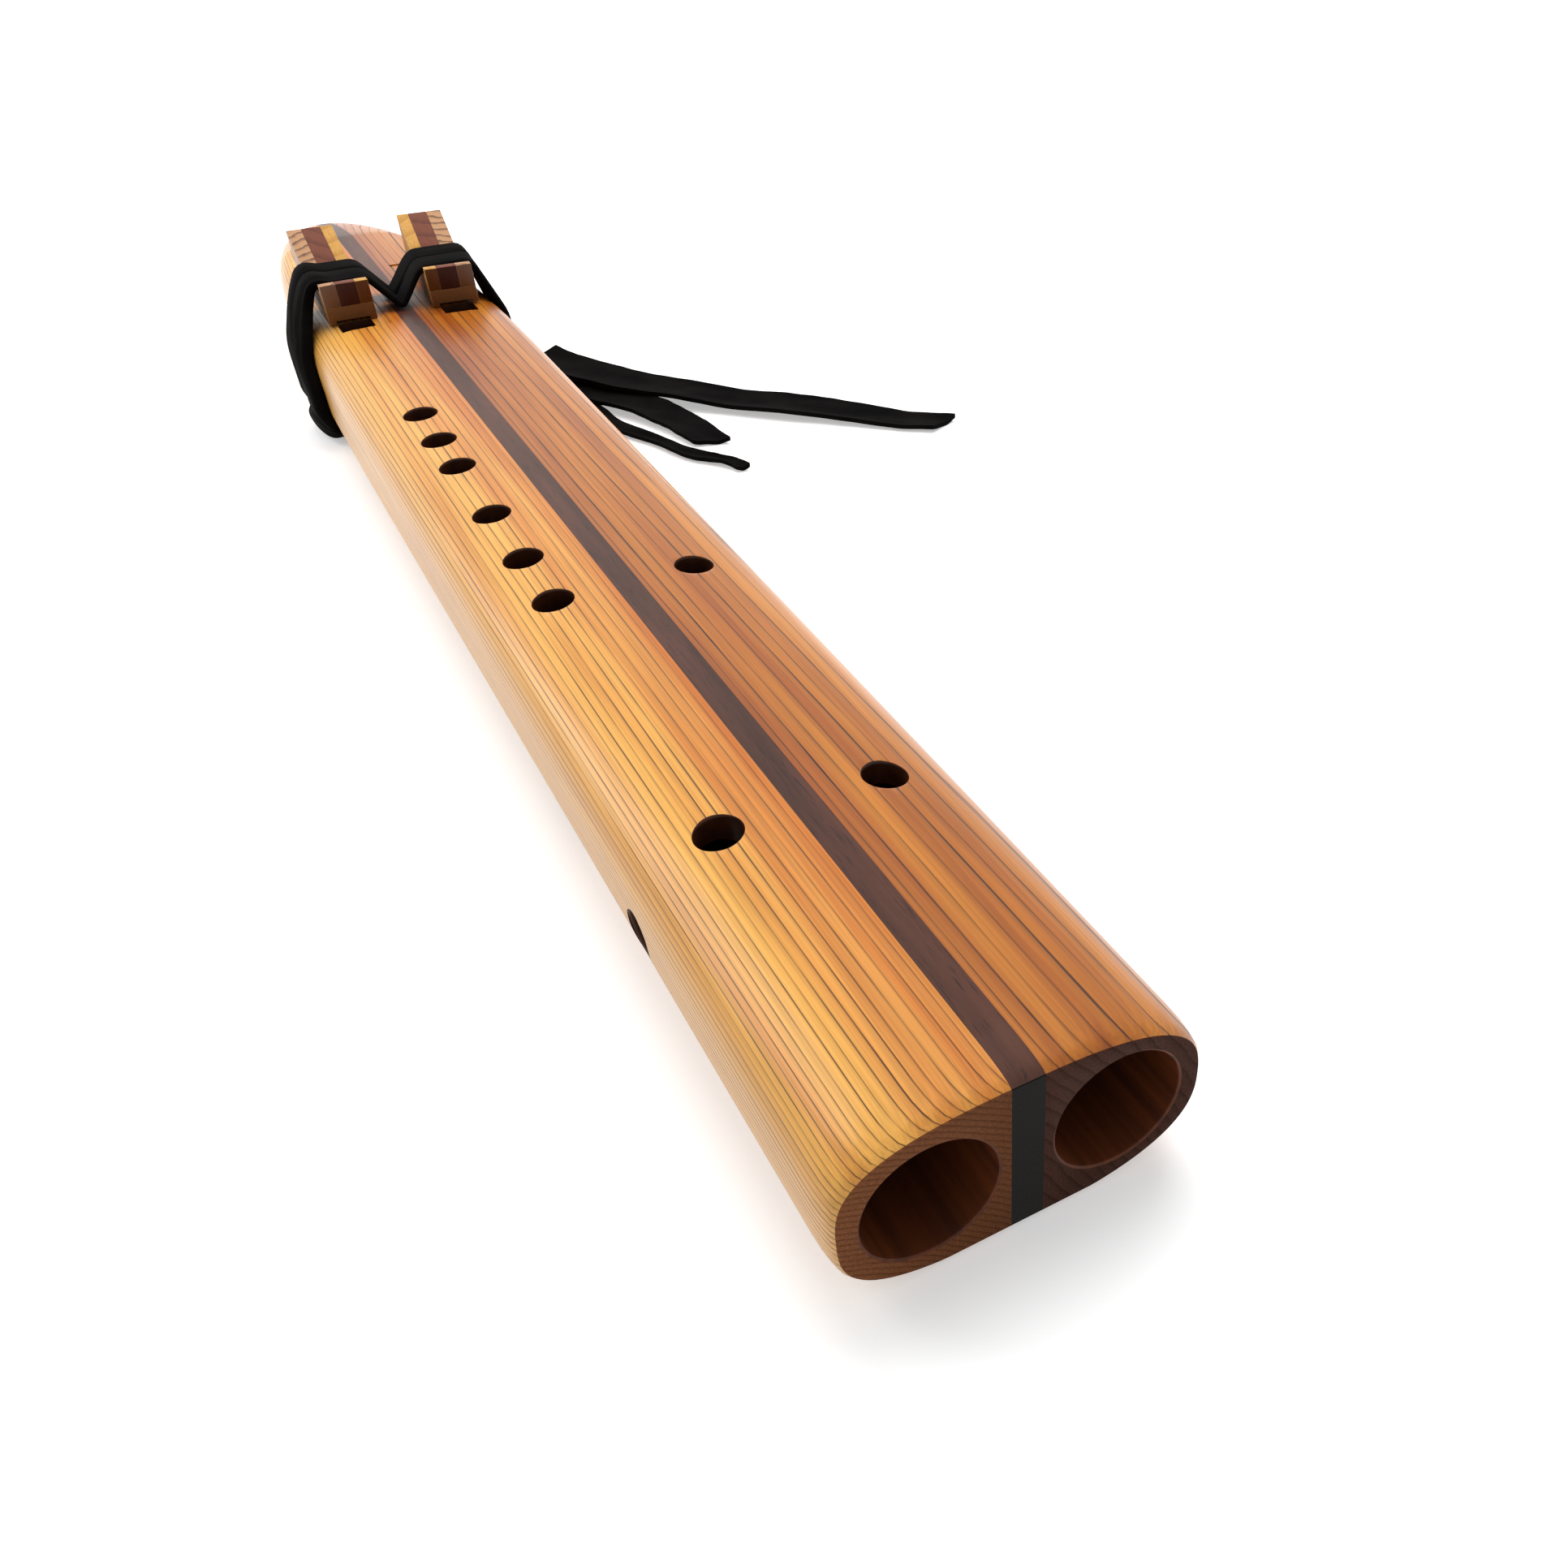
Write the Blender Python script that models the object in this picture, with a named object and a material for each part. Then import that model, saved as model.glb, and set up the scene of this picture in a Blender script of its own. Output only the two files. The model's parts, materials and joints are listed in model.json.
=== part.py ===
"""Double (drone) flute: two bored wooden chambers either side of a walnut strip,
each with a laminated block, tied on with one leather lace.

Metres, +Z up. The flute lies along Y with its foot at -Y and its mouth end at +Y,
finger holes up. Distances called "from the foot" are turned into Y by along().
"""
import bpy
import bmesh
from math import acos, cos, pi, radians, sin, sqrt
from mathutils import Vector
from mathutils.geometry import convex_hull_2d, interpolate_bezier

GAP = 0.0003                 # clearance kept wherever two pieces meet

# Body: two chambers glued to a full-height centre strip
LENGTH = 0.611
BORE_DIAMETER = 0.0254
STRIP_THICKNESS = 0.00635
INNER_WALL = 0.0023          # bore to centre strip
OUTER_WALL = 0.0054          # bore to the flank
ROOF_WALL = 0.0062           # bore to the crown
FLOOR_WALL = 0.0058          # bore to the underside
FLAT_DEPTH = 0.0006          # how much is sanded off to make the flat underside
RIM_INSET = 0.0014           # rounding of the foot's rim
RIM_LENGTH = 0.009
ROUNDNESS_LEFT = 3.0         # superellipse power of the section at the foot
ROUNDNESS_RIGHT = 2.6
ROUNDNESS_HEAD = 4.4         # squarer under the blocks
ROUNDNESS_TIP = 2.3

# Mouth end
NOSE_TAPER = 0.230           # length over which the plan narrows
NOSE_DROP = 0.067            # length over which the top comes down
NOSE_OVERRUN = 0.018         # how far the curves would run past the blunt tip
RELIEF = 0.0022              # underside raised over the lacing
RELIEF_START = 0.280         # from the mouth end
RELIEF_RUN = 0.070

# Chambers
BLOW_HOLE_DIAMETER = 0.0076
BLOW_HOLE_OFFSET = 0.0092
WIND_CHAMBER_LENGTH = 0.035  # straight part behind the divider
DIVIDER_LENGTH = 0.014
SOUND_HOLE_LENGTH = 0.0080
SOUND_HOLE_LEAD = 0.0070     # in front of the block
SPLITTING_SLOPE = 0.35       # undercut of the splitting edge
WIND_EXIT_LENGTH = 0.006
FLUE_WIDTH = 0.0117
FLUE_HEIGHT = 0.0011

# Holes
FINGER_HOLE_DIAMETER = 0.0102
FINGER_HOLES_FROM_BLOCK = (0.1008, 0.1244, 0.1464, 0.1830, 0.2130, 0.2387)
TUNING_HOLE_DIAMETER = 0.0101
TUNING_HOLE_FROM_FOOT = 0.084
DRONE_HOLE_DIAMETER = 0.0096
DRONE_HOLES_FROM_FOOT = (0.0845, 0.1900)
SIDE_HOLE_DIAMETER = 0.0106
SIDE_HOLE_FROM_FOOT = 0.0887
SIDE_HOLE_DROP = 0.0035      # below the bore's axis

# Blocks
BLOCK_FROM_MOUTH = 0.182     # mouth end to a block's front face
BLOCK_LENGTH = 0.059
BLOCK_WIDTH = 0.0165
NEST_DEPTH = 0.0005
NEST_LEAD = 0.009            # flat in front of the block
BASE_HEIGHT = 0.0057
FRONT_HEIGHT = 0.0134
CREST_HEIGHT = 0.0187
SADDLE_HEIGHT = 0.0104
LEDGE_LENGTH = 0.0036
OUTER_CHEEK_WIDTH = 0.0054
CORE_WIDTH = 0.0068
RIGHT_BLOCK_TURN = radians(-4.2)

# Lace
TURN_WIDTH = 0.0132
TURN_THICKNESS = 0.0026      # folded double over the blocks
TURN_BUNCHED = 0.0044        # gathered on the melody chamber's flank
TURN_UNDER = 0.0017          # flattened between the body and the table
TURN_LEAD = 0.0066           # block front to the first turn
SADDLE_PLAY = 0.0060         # saddle left free by the two turns
SADDLE_LENGTH = 2 * TURN_WIDTH + SADDLE_PLAY
KNOT_RADII = (0.0040, 0.0075, 0.0052)
KNOT_HEIGHT = 0.0068
KNOT_TUCK = 0.0021           # how far the knot sits in under the turns' bulge
TAIL_THICKNESS = 0.0015
TAIL_NECK = 0.40             # share of its width that a tail has at the knot

BORE_RADIUS = BORE_DIAMETER / 2
STRIP_HALF = STRIP_THICKNESS / 2
CHAMBER_INNER = STRIP_HALF + GAP
BORE_OFFSET = STRIP_HALF + INNER_WALL + BORE_RADIUS
HALF_WIDTH = BORE_OFFSET + BORE_RADIUS + OUTER_WALL
BORE_HEIGHT = FLOOR_WALL + BORE_RADIUS
CROWN = BORE_RADIUS + ROOF_WALL
NEST_HEIGHT = BORE_HEIGHT + CROWN - NEST_DEPTH
BLOCK_FRONT = LENGTH - BLOCK_FROM_MOUTH
BLOCK_REAR = BLOCK_FRONT + BLOCK_LENGTH
DIVIDER_FRONT = BLOCK_FRONT + 0.003
WIND_EXIT_FRONT = DIVIDER_FRONT + DIVIDER_LENGTH + 0.002
FLUE_LENGTH = WIND_EXIT_FRONT + WIND_EXIT_LENGTH - BLOCK_FRONT
SIDES = {"left": -1, "right": 1}
ARC_STEPS = 9
BORE_STEPS = 28


def along(from_foot):
    """World Y of a distance measured from the foot."""
    return from_foot - LENGTH / 2


def clamp(value):
    return min(max(value, 0.0), 1.0)


def blend(value):
    t = clamp(value)
    return t * t * (3 - 2 * t)


def new_material(name, colour, roughness):
    material = bpy.data.materials.new(name)
    material.use_nodes = True
    shader = material.node_tree.nodes["Principled BSDF"]
    shader.inputs["Base Color"].default_value = (*colour, 1)
    shader.inputs["Roughness"].default_value = roughness
    shader.inputs["Metallic"].default_value = 0.0
    return material


def add_object(name, bm, material):
    """Turn a bmesh into a named, smooth-shaded object."""
    bmesh.ops.recalc_face_normals(bm, faces=bm.faces)
    mesh = bpy.data.meshes.new(name)
    bm.to_mesh(mesh)
    bm.free()
    mesh.shade_smooth()
    mesh.set_sharp_from_angle(angle=radians(35))
    item = bpy.data.objects.new(name, mesh)
    bpy.context.scene.collection.objects.link(item)
    if material:
        mesh.materials.append(material)
    return item


def add_cutter(name, bm):
    item = add_object(name, bm, None)
    item.hide_render = True
    item.display_type = 'WIRE'
    return item


def cut(item, cutter):
    boolean = item.modifiers.new("cut_" + cutter.name, 'BOOLEAN')
    boolean.operation = 'DIFFERENCE'
    boolean.solver = 'EXACT'
    boolean.object = cutter


def loft(rings):
    """A closed solid through rings that all have the same number of points."""
    bm = bmesh.new()
    loops = [[bm.verts.new(point) for point in ring] for ring in rings]
    count = len(loops[0])
    for near, far in zip(loops, loops[1:]):
        for i in range(count):
            j = (i + 1) % count
            bm.faces.new((near[i], near[j], far[j], far[i]))
    bm.faces.new(loops[0])
    bm.faces.new(loops[-1])
    return bm


def box(low, high):
    bm = bmesh.new()
    bmesh.ops.create_cube(bm, size=1)
    size = Vector(high) - Vector(low)
    bmesh.ops.scale(bm, vec=size, verts=bm.verts)
    bmesh.ops.translate(bm, vec=(Vector(low) + Vector(high)) / 2, verts=bm.verts)
    return bm


# ---- Body outline ---------------------------------------------------------

def rim_inset(from_foot):
    t = clamp(1 - from_foot / RIM_LENGTH)
    return RIM_INSET * (1 - sqrt(1 - t * t))


def half_width(from_foot):
    run = NOSE_TAPER + NOSE_OVERRUN
    t = clamp((from_foot - LENGTH + NOSE_TAPER) / run)
    return HALF_WIDTH * sqrt(1 - t ** 2.4) - rim_inset(from_foot)


def nose_height(from_foot):
    run = NOSE_DROP + NOSE_OVERRUN
    t = clamp((from_foot - LENGTH + NOSE_DROP) / run)
    return sqrt(1 - t)


def depth_below_axis(from_foot):
    lift = RELIEF * blend((from_foot - LENGTH + RELIEF_START) / RELIEF_RUN)
    return (BORE_HEIGHT - lift) * nose_height(from_foot) - rim_inset(from_foot)


def height_above_axis(from_foot):
    return CROWN * nose_height(from_foot) - rim_inset(from_foot)


def roundness(from_foot, side):
    foot = ROUNDNESS_LEFT if side < 0 else ROUNDNESS_RIGHT
    head = BLOCK_FRONT - TURN_WIDTH * 3
    power = foot + (ROUNDNESS_HEAD - foot) * clamp(from_foot / head)
    to_tip = clamp((from_foot - BLOCK_REAR) / (LENGTH - BLOCK_REAR))
    return power + (ROUNDNESS_TIP - power) * to_tip


def quarter_arc(from_foot, side, upper, inner):
    """Outline of a quarter of the section, flank to centre, as (x, z) points."""
    width = half_width(from_foot)
    power = roundness(from_foot, side)
    end = acos((inner / width) ** (power / 2))
    points = []
    for i in range(ARC_STEPS + 1):
        angle = end * i / ARC_STEPS
        x = width * cos(angle) ** (2 / power)
        rise = sin(angle) ** (2 / power)
        if upper:
            z = BORE_HEIGHT + max(height_above_axis(from_foot) * rise, GAP / 2)
        else:
            depth = depth_below_axis(from_foot)
            drop = min((depth + FLAT_DEPTH) * rise, depth)
            z = BORE_HEIGHT - max(drop, GAP / 2)
        points.append((side * x, z))
    return points


def stations():
    """Distances from the foot at which the body's section is drawn."""
    rim = [RIM_LENGTH * (1 - sin(pi / 2 * i / 5)) for i in range(5, -1, -1)]
    relief = LENGTH - RELIEF_START
    middle = [LENGTH * share for share in (0.12, 0.26, 0.40)]
    lifted = [relief + RELIEF_RUN * i / 3 for i in range(4)]
    nose = LENGTH - NOSE_DROP
    level = [BLOCK_FRONT, BLOCK_FRONT + 0.03, BLOCK_REAR, (BLOCK_REAR + nose) / 2]
    tip = [nose + NOSE_DROP * sin(pi / 2 * i / 9) for i in range(10)]
    return rim + [d for d in middle if d < relief - 0.02] + lifted + level + tip


def bore_cutter(name, side):
    """The chamber's hollow: full bore, then narrowing to the blow hole."""
    wind_end = DIVIDER_FRONT + DIVIDER_LENGTH + WIND_CHAMBER_LENGTH
    blow = BLOW_HOLE_DIAMETER / 2
    narrow_end = LENGTH - 0.058
    rings = [(-0.006, BORE_RADIUS, BORE_OFFSET), (wind_end, BORE_RADIUS, BORE_OFFSET)]
    for i in range(1, 5):
        t = i / 4
        radius = BORE_RADIUS + (blow - BORE_RADIUS) * blend(t)
        offset = BORE_OFFSET + (BLOW_HOLE_OFFSET - BORE_OFFSET) * blend(t * 0.94)
        rings.append((wind_end + (narrow_end - wind_end) * t, radius, offset))
    rings.append((LENGTH + 0.006, blow, BLOW_HOLE_OFFSET))
    loops = []
    for from_foot, radius, offset in rings:
        turn = [2 * pi * (i + 0.5) / BORE_STEPS for i in range(BORE_STEPS)]
        loops.append([(side * offset + radius * cos(a), along(from_foot),
                       BORE_HEIGHT + radius * sin(a)) for a in turn])
    return add_cutter(name, loft(loops))


def hole_cutter(name, centre, diameter, sideways=False):
    """A drill that starts at centre and runs 25 mm up, or 25 mm out to -X."""
    bm = bmesh.new()
    reach = 0.025
    bmesh.ops.create_cone(bm, cap_ends=True, segments=20, radius1=diameter / 2,
                          radius2=diameter / 2, depth=reach)
    bmesh.ops.translate(bm, vec=(0, 0, reach / 2), verts=bm.verts)
    if sideways:
        for vert in bm.verts:
            vert.co = Vector((-vert.co.z, vert.co.y, vert.co.x))
    bmesh.ops.translate(bm, vec=centre, verts=bm.verts)
    return add_cutter(name, bm)


def sound_hole_cutter(name, side):
    """The sound hole, undercut towards the foot to leave a splitting edge."""
    half = FLUE_WIDTH / 2
    loops = []
    for z in (BORE_HEIGHT + BORE_RADIUS * 0.5, NEST_HEIGHT + 0.006):
        lead = SOUND_HOLE_LEAD + SPLITTING_SLOPE * (NEST_HEIGHT - z)
        front = along(BLOCK_FRONT - lead)
        rear = along(BLOCK_FRONT - SOUND_HOLE_LEAD + SOUND_HOLE_LENGTH)
        x = side * BORE_OFFSET
        loops.append([(x - half, front, z), (x + half, front, z),
                      (x + half, rear, z), (x - half, rear, z)])
    return add_cutter(name, loft(loops))


def chamber_halves(side_name, chamber, material):
    """One chamber: sawn, routed and glued back as a top and a bottom half."""
    side = SIDES[side_name]
    halves = {}
    for half in ("top", "bottom"):
        upper = half == "top"
        seam = BORE_HEIGHT + (GAP / 2 if upper else -GAP / 2)
        rings = []
        for from_foot in stations():
            arc = quarter_arc(from_foot, side, upper, CHAMBER_INNER)
            outline = [(side * CHAMBER_INNER, seam)] + arc
            rings.append([(x, along(from_foot), z) for x, z in outline])
        halves[half] = add_object(f"{chamber}_{half}", loft(rings), material)
        cut(halves[half], bores[side_name])
    top = halves["top"]
    x = side * BORE_OFFSET
    half = FLUE_WIDTH / 2
    low, high = sorted((side * (CHAMBER_INNER - 0.001), side * (HALF_WIDTH + 0.001)))
    nest = box((low, along(BLOCK_FRONT - NEST_LEAD), NEST_HEIGHT),
               (high, along(BLOCK_REAR + 0.004), NEST_HEIGHT + 0.01))
    cut(top, add_cutter(f"{chamber}_nest", nest))
    cut(top, sound_hole_cutter(f"{chamber}_sound_hole", side))
    exit_box = box((x - half, along(WIND_EXIT_FRONT), BORE_HEIGHT + BORE_RADIUS * 0.5),
                   (x + half, along(WIND_EXIT_FRONT + WIND_EXIT_LENGTH), NEST_HEIGHT + 0.006))
    cut(top, add_cutter(f"{chamber}_wind_exit", exit_box))
    return halves


def make_divider(side_name, name, material):
    """Plug that parts the slow-air chamber from the sounding bore."""
    bm = bmesh.new()
    bmesh.ops.create_cone(bm, cap_ends=True, segments=BORE_STEPS,
                          radius1=BORE_RADIUS - GAP * 1.5, radius2=BORE_RADIUS - GAP * 1.5,
                          depth=DIVIDER_LENGTH)
    for vert in bm.verts:
        x, y, z = vert.co
        vert.co = (SIDES[side_name] * BORE_OFFSET + x,
                   along(DIVIDER_FRONT + DIVIDER_LENGTH / 2) + z, BORE_HEIGHT + y)
    return add_object(name, bm, material)


def make_strip(material):
    rings = []
    for from_foot in stations():
        low = BORE_HEIGHT - depth_below_axis(from_foot)
        high = BORE_HEIGHT + height_above_axis(from_foot)
        y = along(from_foot)
        rings.append([(-STRIP_HALF, y, low), (STRIP_HALF, y, low),
                      (STRIP_HALF, y, high), (-STRIP_HALF, y, high)])
    return add_object("centre_strip", loft(rings), material)


# ---- Blocks ---------------------------------------------------------------

def extruded_profile(x_low, x_high, profile):
    return loft([[(x, y, z) for y, z in profile] for x in (x_low, x_high)])


def make_block(side_name, chamber, turn, materials):
    """Base with the flue under it; two cheeks and a core glued on top."""
    side = SIDES[side_name]
    empty = bpy.data.objects.new(f"{chamber}_block_slide", None)
    bpy.context.scene.collection.objects.link(empty)
    empty.location = (side * BORE_OFFSET, along(BLOCK_FRONT), NEST_HEIGHT + GAP)
    empty.rotation_euler = (0, 0, turn)
    half = BLOCK_WIDTH / 2
    base = add_object(f"{chamber}_block_base",
                      box((-half, 0, 0), (half, BLOCK_LENGTH, BASE_HEIGHT - GAP)),
                      materials["base"])
    flue = add_cutter(f"{chamber}_flue",
                      box((-FLUE_WIDTH / 2, -0.002, -0.002),
                          (FLUE_WIDTH / 2, FLUE_LENGTH, FLUE_HEIGHT)))
    cut(base, flue)
    saddle_end = LEDGE_LENGTH + SADDLE_LENGTH
    profile = [(0, BASE_HEIGHT), (BLOCK_LENGTH, BASE_HEIGHT), (BLOCK_LENGTH, CREST_HEIGHT),
               (saddle_end, SADDLE_HEIGHT), (LEDGE_LENGTH, SADDLE_HEIGHT),
               (LEDGE_LENGTH, FRONT_HEIGHT), (0, FRONT_HEIGHT)]
    outer = half - OUTER_CHEEK_WIDTH
    inner = outer - CORE_WIDTH
    spans = {"outer_cheek": (outer + GAP / 2, half), "core": (inner + GAP / 2, outer - GAP / 2),
             "inner_cheek": (-half, inner - GAP / 2)}
    pieces = [base, flue]
    for piece, span in spans.items():
        low, high = sorted(side * x for x in span)
        pieces.append(add_object(f"{chamber}_block_{piece}",
                                 extruded_profile(low, high, profile), materials[piece]))
    for item in pieces:
        item.parent = empty
    return pieces


# ---- Lace -----------------------------------------------------------------

def offset_loop(points, distance):
    """Move each point of a closed counter-clockwise loop outwards along its mitre."""
    moved = []
    count = len(points)
    for i, point in enumerate(points):
        before = (point - points[i - 1]).normalized()
        after = (points[(i + 1) % count] - point).normalized()
        normal_a = Vector((before.y, -before.x))
        normal_b = Vector((after.y, -after.x))
        mitre = (normal_a + normal_b) / (1 + normal_a.dot(normal_b))
        moved.append(point + mitre * distance(point))
    return moved


def half_girth(side, near, far, turn, reach):
    """Taut half of a turn, from under the strip up over one block to the strip."""
    widest = near - reach
    outline = quarter_arc(widest, side, False, 0.0005)
    outline += quarter_arc(widest, side, True, 0.0005)
    lean = [turn * -(d - BLOCK_FRONT) for d in (near, far)]
    half = BLOCK_WIDTH / 2
    corner_z = NEST_HEIGHT + GAP + SADDLE_HEIGHT
    outer_x = BORE_OFFSET + half + max(side * shift for shift in lean)
    inner_x = BORE_OFFSET - half + min(side * shift for shift in lean)
    cloud = [Vector((abs(x), z)) for x, z in outline]
    cloud += [Vector((outer_x, corner_z)), Vector((inner_x, corner_z))]
    hull = [cloud[i] for i in convex_hull_2d(cloud)]
    area = sum(a.x * b.y - b.x * a.y for a, b in zip(hull, hull[1:] + hull[:1]))
    if area < 0:
        hull.reverse()
    start = min(range(len(hull)), key=lambda i: (round(hull[i].y, 5), hull[i].x))
    ordered = hull[start:] + hull[:start]
    taut = [p for p in ordered if p.y < corner_z - 0.0002 and p.x > 0.002]
    taut = [p for p in taut if p.x > outer_x - 0.0005 or p.y < BORE_HEIGHT]
    taut += [Vector((outer_x, corner_z)), Vector((inner_x, corner_z))]
    return taut + [Vector((STRIP_HALF, BORE_HEIGHT + height_above_axis(near)))]


def bunching(point):
    """Thickness of the folded lace: thin beneath, full on top, gathered at the left."""
    full = TURN_THICKNESS + (TURN_BUNCHED - TURN_THICKNESS) * blend((-point.x - 0.027) / 0.008)
    return TURN_UNDER + (full - TURN_UNDER) * blend((point.y - 0.005) / 0.010)


def slant(x, z, reach):
    """How far a turn drifts towards the foot on its way down the left flank."""
    if x < 0:
        down = blend((NEST_HEIGHT + SADDLE_HEIGHT - z) / 0.030)
        return -reach * down * blend(-x / 0.030)
    return 0.0


def make_turn(name, near, far, reach, material):
    right = half_girth(1, near, far, RIGHT_BLOCK_TURN, 0.0)
    left = [Vector((-p.x, p.y)) for p in half_girth(-1, near, far, 0.0, reach)]
    girth = right + left[::-1]
    inside = offset_loop(girth, lambda p: GAP)
    outside = offset_loop(girth, lambda p: GAP + bunching(p))
    bm = bmesh.new()
    loops = []
    for distance in (near, far):
        for ring in (inside, outside):
            loops.append([bm.verts.new((p.x, along(distance) + slant(g.x, g.y, reach), p.y))
                          for p, g in zip(ring, girth)])
    near_in, near_out, far_in, far_out = loops
    count = len(girth)
    for a, b in ((near_in, far_in), (far_out, near_out), (near_out, near_in), (far_in, far_out)):
        for i in range(count):
            j = (i + 1) % count
            bm.faces.new((a[i], a[j], b[j], b[i]))
    return add_object(name, bm, material)


def make_knot(centre, material):
    bm = bmesh.new()
    bmesh.ops.create_uvsphere(bm, u_segments=14, v_segments=9, radius=1)
    bmesh.ops.scale(bm, vec=KNOT_RADII, verts=bm.verts)
    bmesh.ops.translate(bm, vec=centre, verts=bm.verts)
    return add_object("lace_knot", bm, material)


def smooth_path(points, steps):
    """Points read from one smooth curve through the given ones."""
    path = [Vector(points[0])]
    count = len(points)
    for i in range(count - 1):
        a = Vector(points[i])
        b = Vector(points[i + 1])
        before = Vector(points[max(i - 1, 0)])
        after = Vector(points[min(i + 2, count - 1)])
        handle_a = a + (b - before) / 6
        handle_b = b - (after - a) / 6
        path += interpolate_bezier(a, handle_a, handle_b, b, steps + 1)[1:]
    return path


def make_tail(name, points, width, tip_width, material):
    """A flat end of the lace, lying along its route."""
    path = smooth_path(points, 2)
    rings = []
    last = len(path) - 1
    for i, point in enumerate(path):
        heading = path[min(i + 1, last)] - path[max(i - 1, 0)]
        across = Vector((-heading.y, heading.x, 0)).normalized()
        half = (width + (tip_width - width) * (i / last) ** 2) / 2
        half *= TAIL_NECK + (1 - TAIL_NECK) * blend(i / last * 5)
        up = Vector((0, 0, TAIL_THICKNESS / 2))
        rings.append([point - across * half - up, point + across * half - up,
                      point + across * half + up, point - across * half + up])
    return add_object(name, loft(rings), material)


for old in list(bpy.data.objects):
    bpy.data.objects.remove(old, do_unlink=True)

honey_cedar = new_material("honey_cedar", (0.70, 0.38, 0.13), 0.35)
red_cedar = new_material("red_cedar", (0.52, 0.23, 0.07), 0.35)
walnut = new_material("walnut", (0.10, 0.06, 0.05), 0.38)
block_cedar = new_material("block_cedar", (0.45, 0.22, 0.09), 0.45)
block_maple = new_material("block_maple", (0.60, 0.36, 0.13), 0.42)
block_walnut = new_material("block_walnut", (0.16, 0.06, 0.04), 0.42)
leather = new_material("black_leather", (0.010, 0.011, 0.010), 0.55)

chambers = {"left": ("melody", honey_cedar), "right": ("drone", red_cedar)}
bores = {}
tops = {}
lower = {}
for side_name, (chamber, wood) in chambers.items():
    bores[side_name] = bore_cutter(f"{chamber}_bore", SIDES[side_name])
    pair = chamber_halves(side_name, chamber, wood)
    tops[side_name] = pair["top"]
    lower[side_name] = pair["bottom"]
    make_divider(side_name, f"{chamber}_divider", wood)
make_strip(walnut)

for index, from_block in enumerate(FINGER_HOLES_FROM_BLOCK, 1):
    spot = (-BORE_OFFSET, along(BLOCK_FRONT - from_block), BORE_HEIGHT)
    cut(tops["left"], hole_cutter(f"finger_hole_{index}", spot, FINGER_HOLE_DIAMETER))
tuning_spot = (-BORE_OFFSET, along(TUNING_HOLE_FROM_FOOT), BORE_HEIGHT)
cut(tops["left"], hole_cutter("tuning_hole", tuning_spot, TUNING_HOLE_DIAMETER))
for index, from_foot in enumerate(DRONE_HOLES_FROM_FOOT, 1):
    spot = (BORE_OFFSET, along(from_foot), BORE_HEIGHT)
    cut(tops["right"], hole_cutter(f"drone_hole_{index}", spot, DRONE_HOLE_DIAMETER))
side_spot = (-BORE_OFFSET, along(SIDE_HOLE_FROM_FOOT), BORE_HEIGHT - SIDE_HOLE_DROP)
side_drill = hole_cutter("side_hole", side_spot, SIDE_HOLE_DIAMETER, sideways=True)
cut(tops["left"], side_drill)
cut(lower["left"], side_drill)

block_woods = {"base": block_cedar, "outer_cheek": block_cedar, "core": block_walnut,
               "inner_cheek": block_maple}
make_block("left", "melody", 0.0, block_woods)
make_block("right", "drone", RIGHT_BLOCK_TURN, block_woods)

first_turn = BLOCK_FRONT + TURN_LEAD
second_turn = first_turn + TURN_WIDTH + GAP
make_turn("lace_turn_front", first_turn, first_turn + TURN_WIDTH, 0.022, leather)
make_turn("lace_turn_rear", second_turn, second_turn + TURN_WIDTH, 0.018, leather)

knot_x = HALF_WIDTH + TURN_THICKNESS + GAP * 2 + KNOT_RADII[0] - KNOT_TUCK
knot_y = along(second_turn)
make_knot((knot_x, knot_y, KNOT_HEIGHT), leather)

# Tail routes start at the knot's outer side: metres beyond (knot_x, knot_y).
TAIL_ROUTES = {
    "lace_tail_long": ((0.0068, -0.0020, 0.0072), (0.0112, -0.0110, 0.0062),
                       (0.0180, -0.0250, 0.0056), (0.0290, -0.0425, 0.0049),
                       (0.0440, -0.0600, 0.0042), (0.0600, -0.0770, 0.0024),
                       (0.0750, -0.0930, 0.0032), (0.0900, -0.1080, 0.0022),
                       (0.1050, -0.1240, 0.0013), (0.1180, -0.1350, 0.0011)),
    "lace_tail_short": ((0.0060, -0.0125, 0.0028), (0.0100, -0.0230, 0.0028),
                        (0.0170, -0.0430, 0.0028), (0.0280, -0.0660, 0.0026),
                        (0.0345, -0.0860, 0.0018), (0.0380, -0.1060, 0.0011)),
    "lace_tail_thin": ((0.0060, -0.0120, 0.0010), (0.0080, -0.0280, 0.0010),
                       (0.0110, -0.0520, 0.0010), (0.0140, -0.0760, 0.0010),
                       (0.0220, -0.0960, 0.0010), (0.0280, -0.1140, 0.0010),
                       (0.0355, -0.1240, 0.0011), (0.0390, -0.1330, 0.0010)),
}
TAIL_WIDTHS = {"lace_tail_long": (0.018, 0.012), "lace_tail_short": (0.016, 0.012),
               "lace_tail_thin": (0.006, 0.004)}
for tail, route in TAIL_ROUTES.items():
    placed = [(knot_x + x, knot_y + y, z) for x, y, z in route]
    make_tail(tail, placed, *TAIL_WIDTHS[tail], leather)
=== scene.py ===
"""Looks of the double drone flute: wood, lacing, floor, light and camera.

Metres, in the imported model's own frame: Y along the bores with the foot at -Y, Z up.
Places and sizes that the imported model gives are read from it. The rest are named at
the top of the section that uses them.
"""
import json
import bpy
import bmesh
from math import cos, pi, radians, sin, sqrt
from mathutils import Matrix, Vector, noise
from mathutils.geometry import convex_hull_2d, interpolate_bezier

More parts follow.
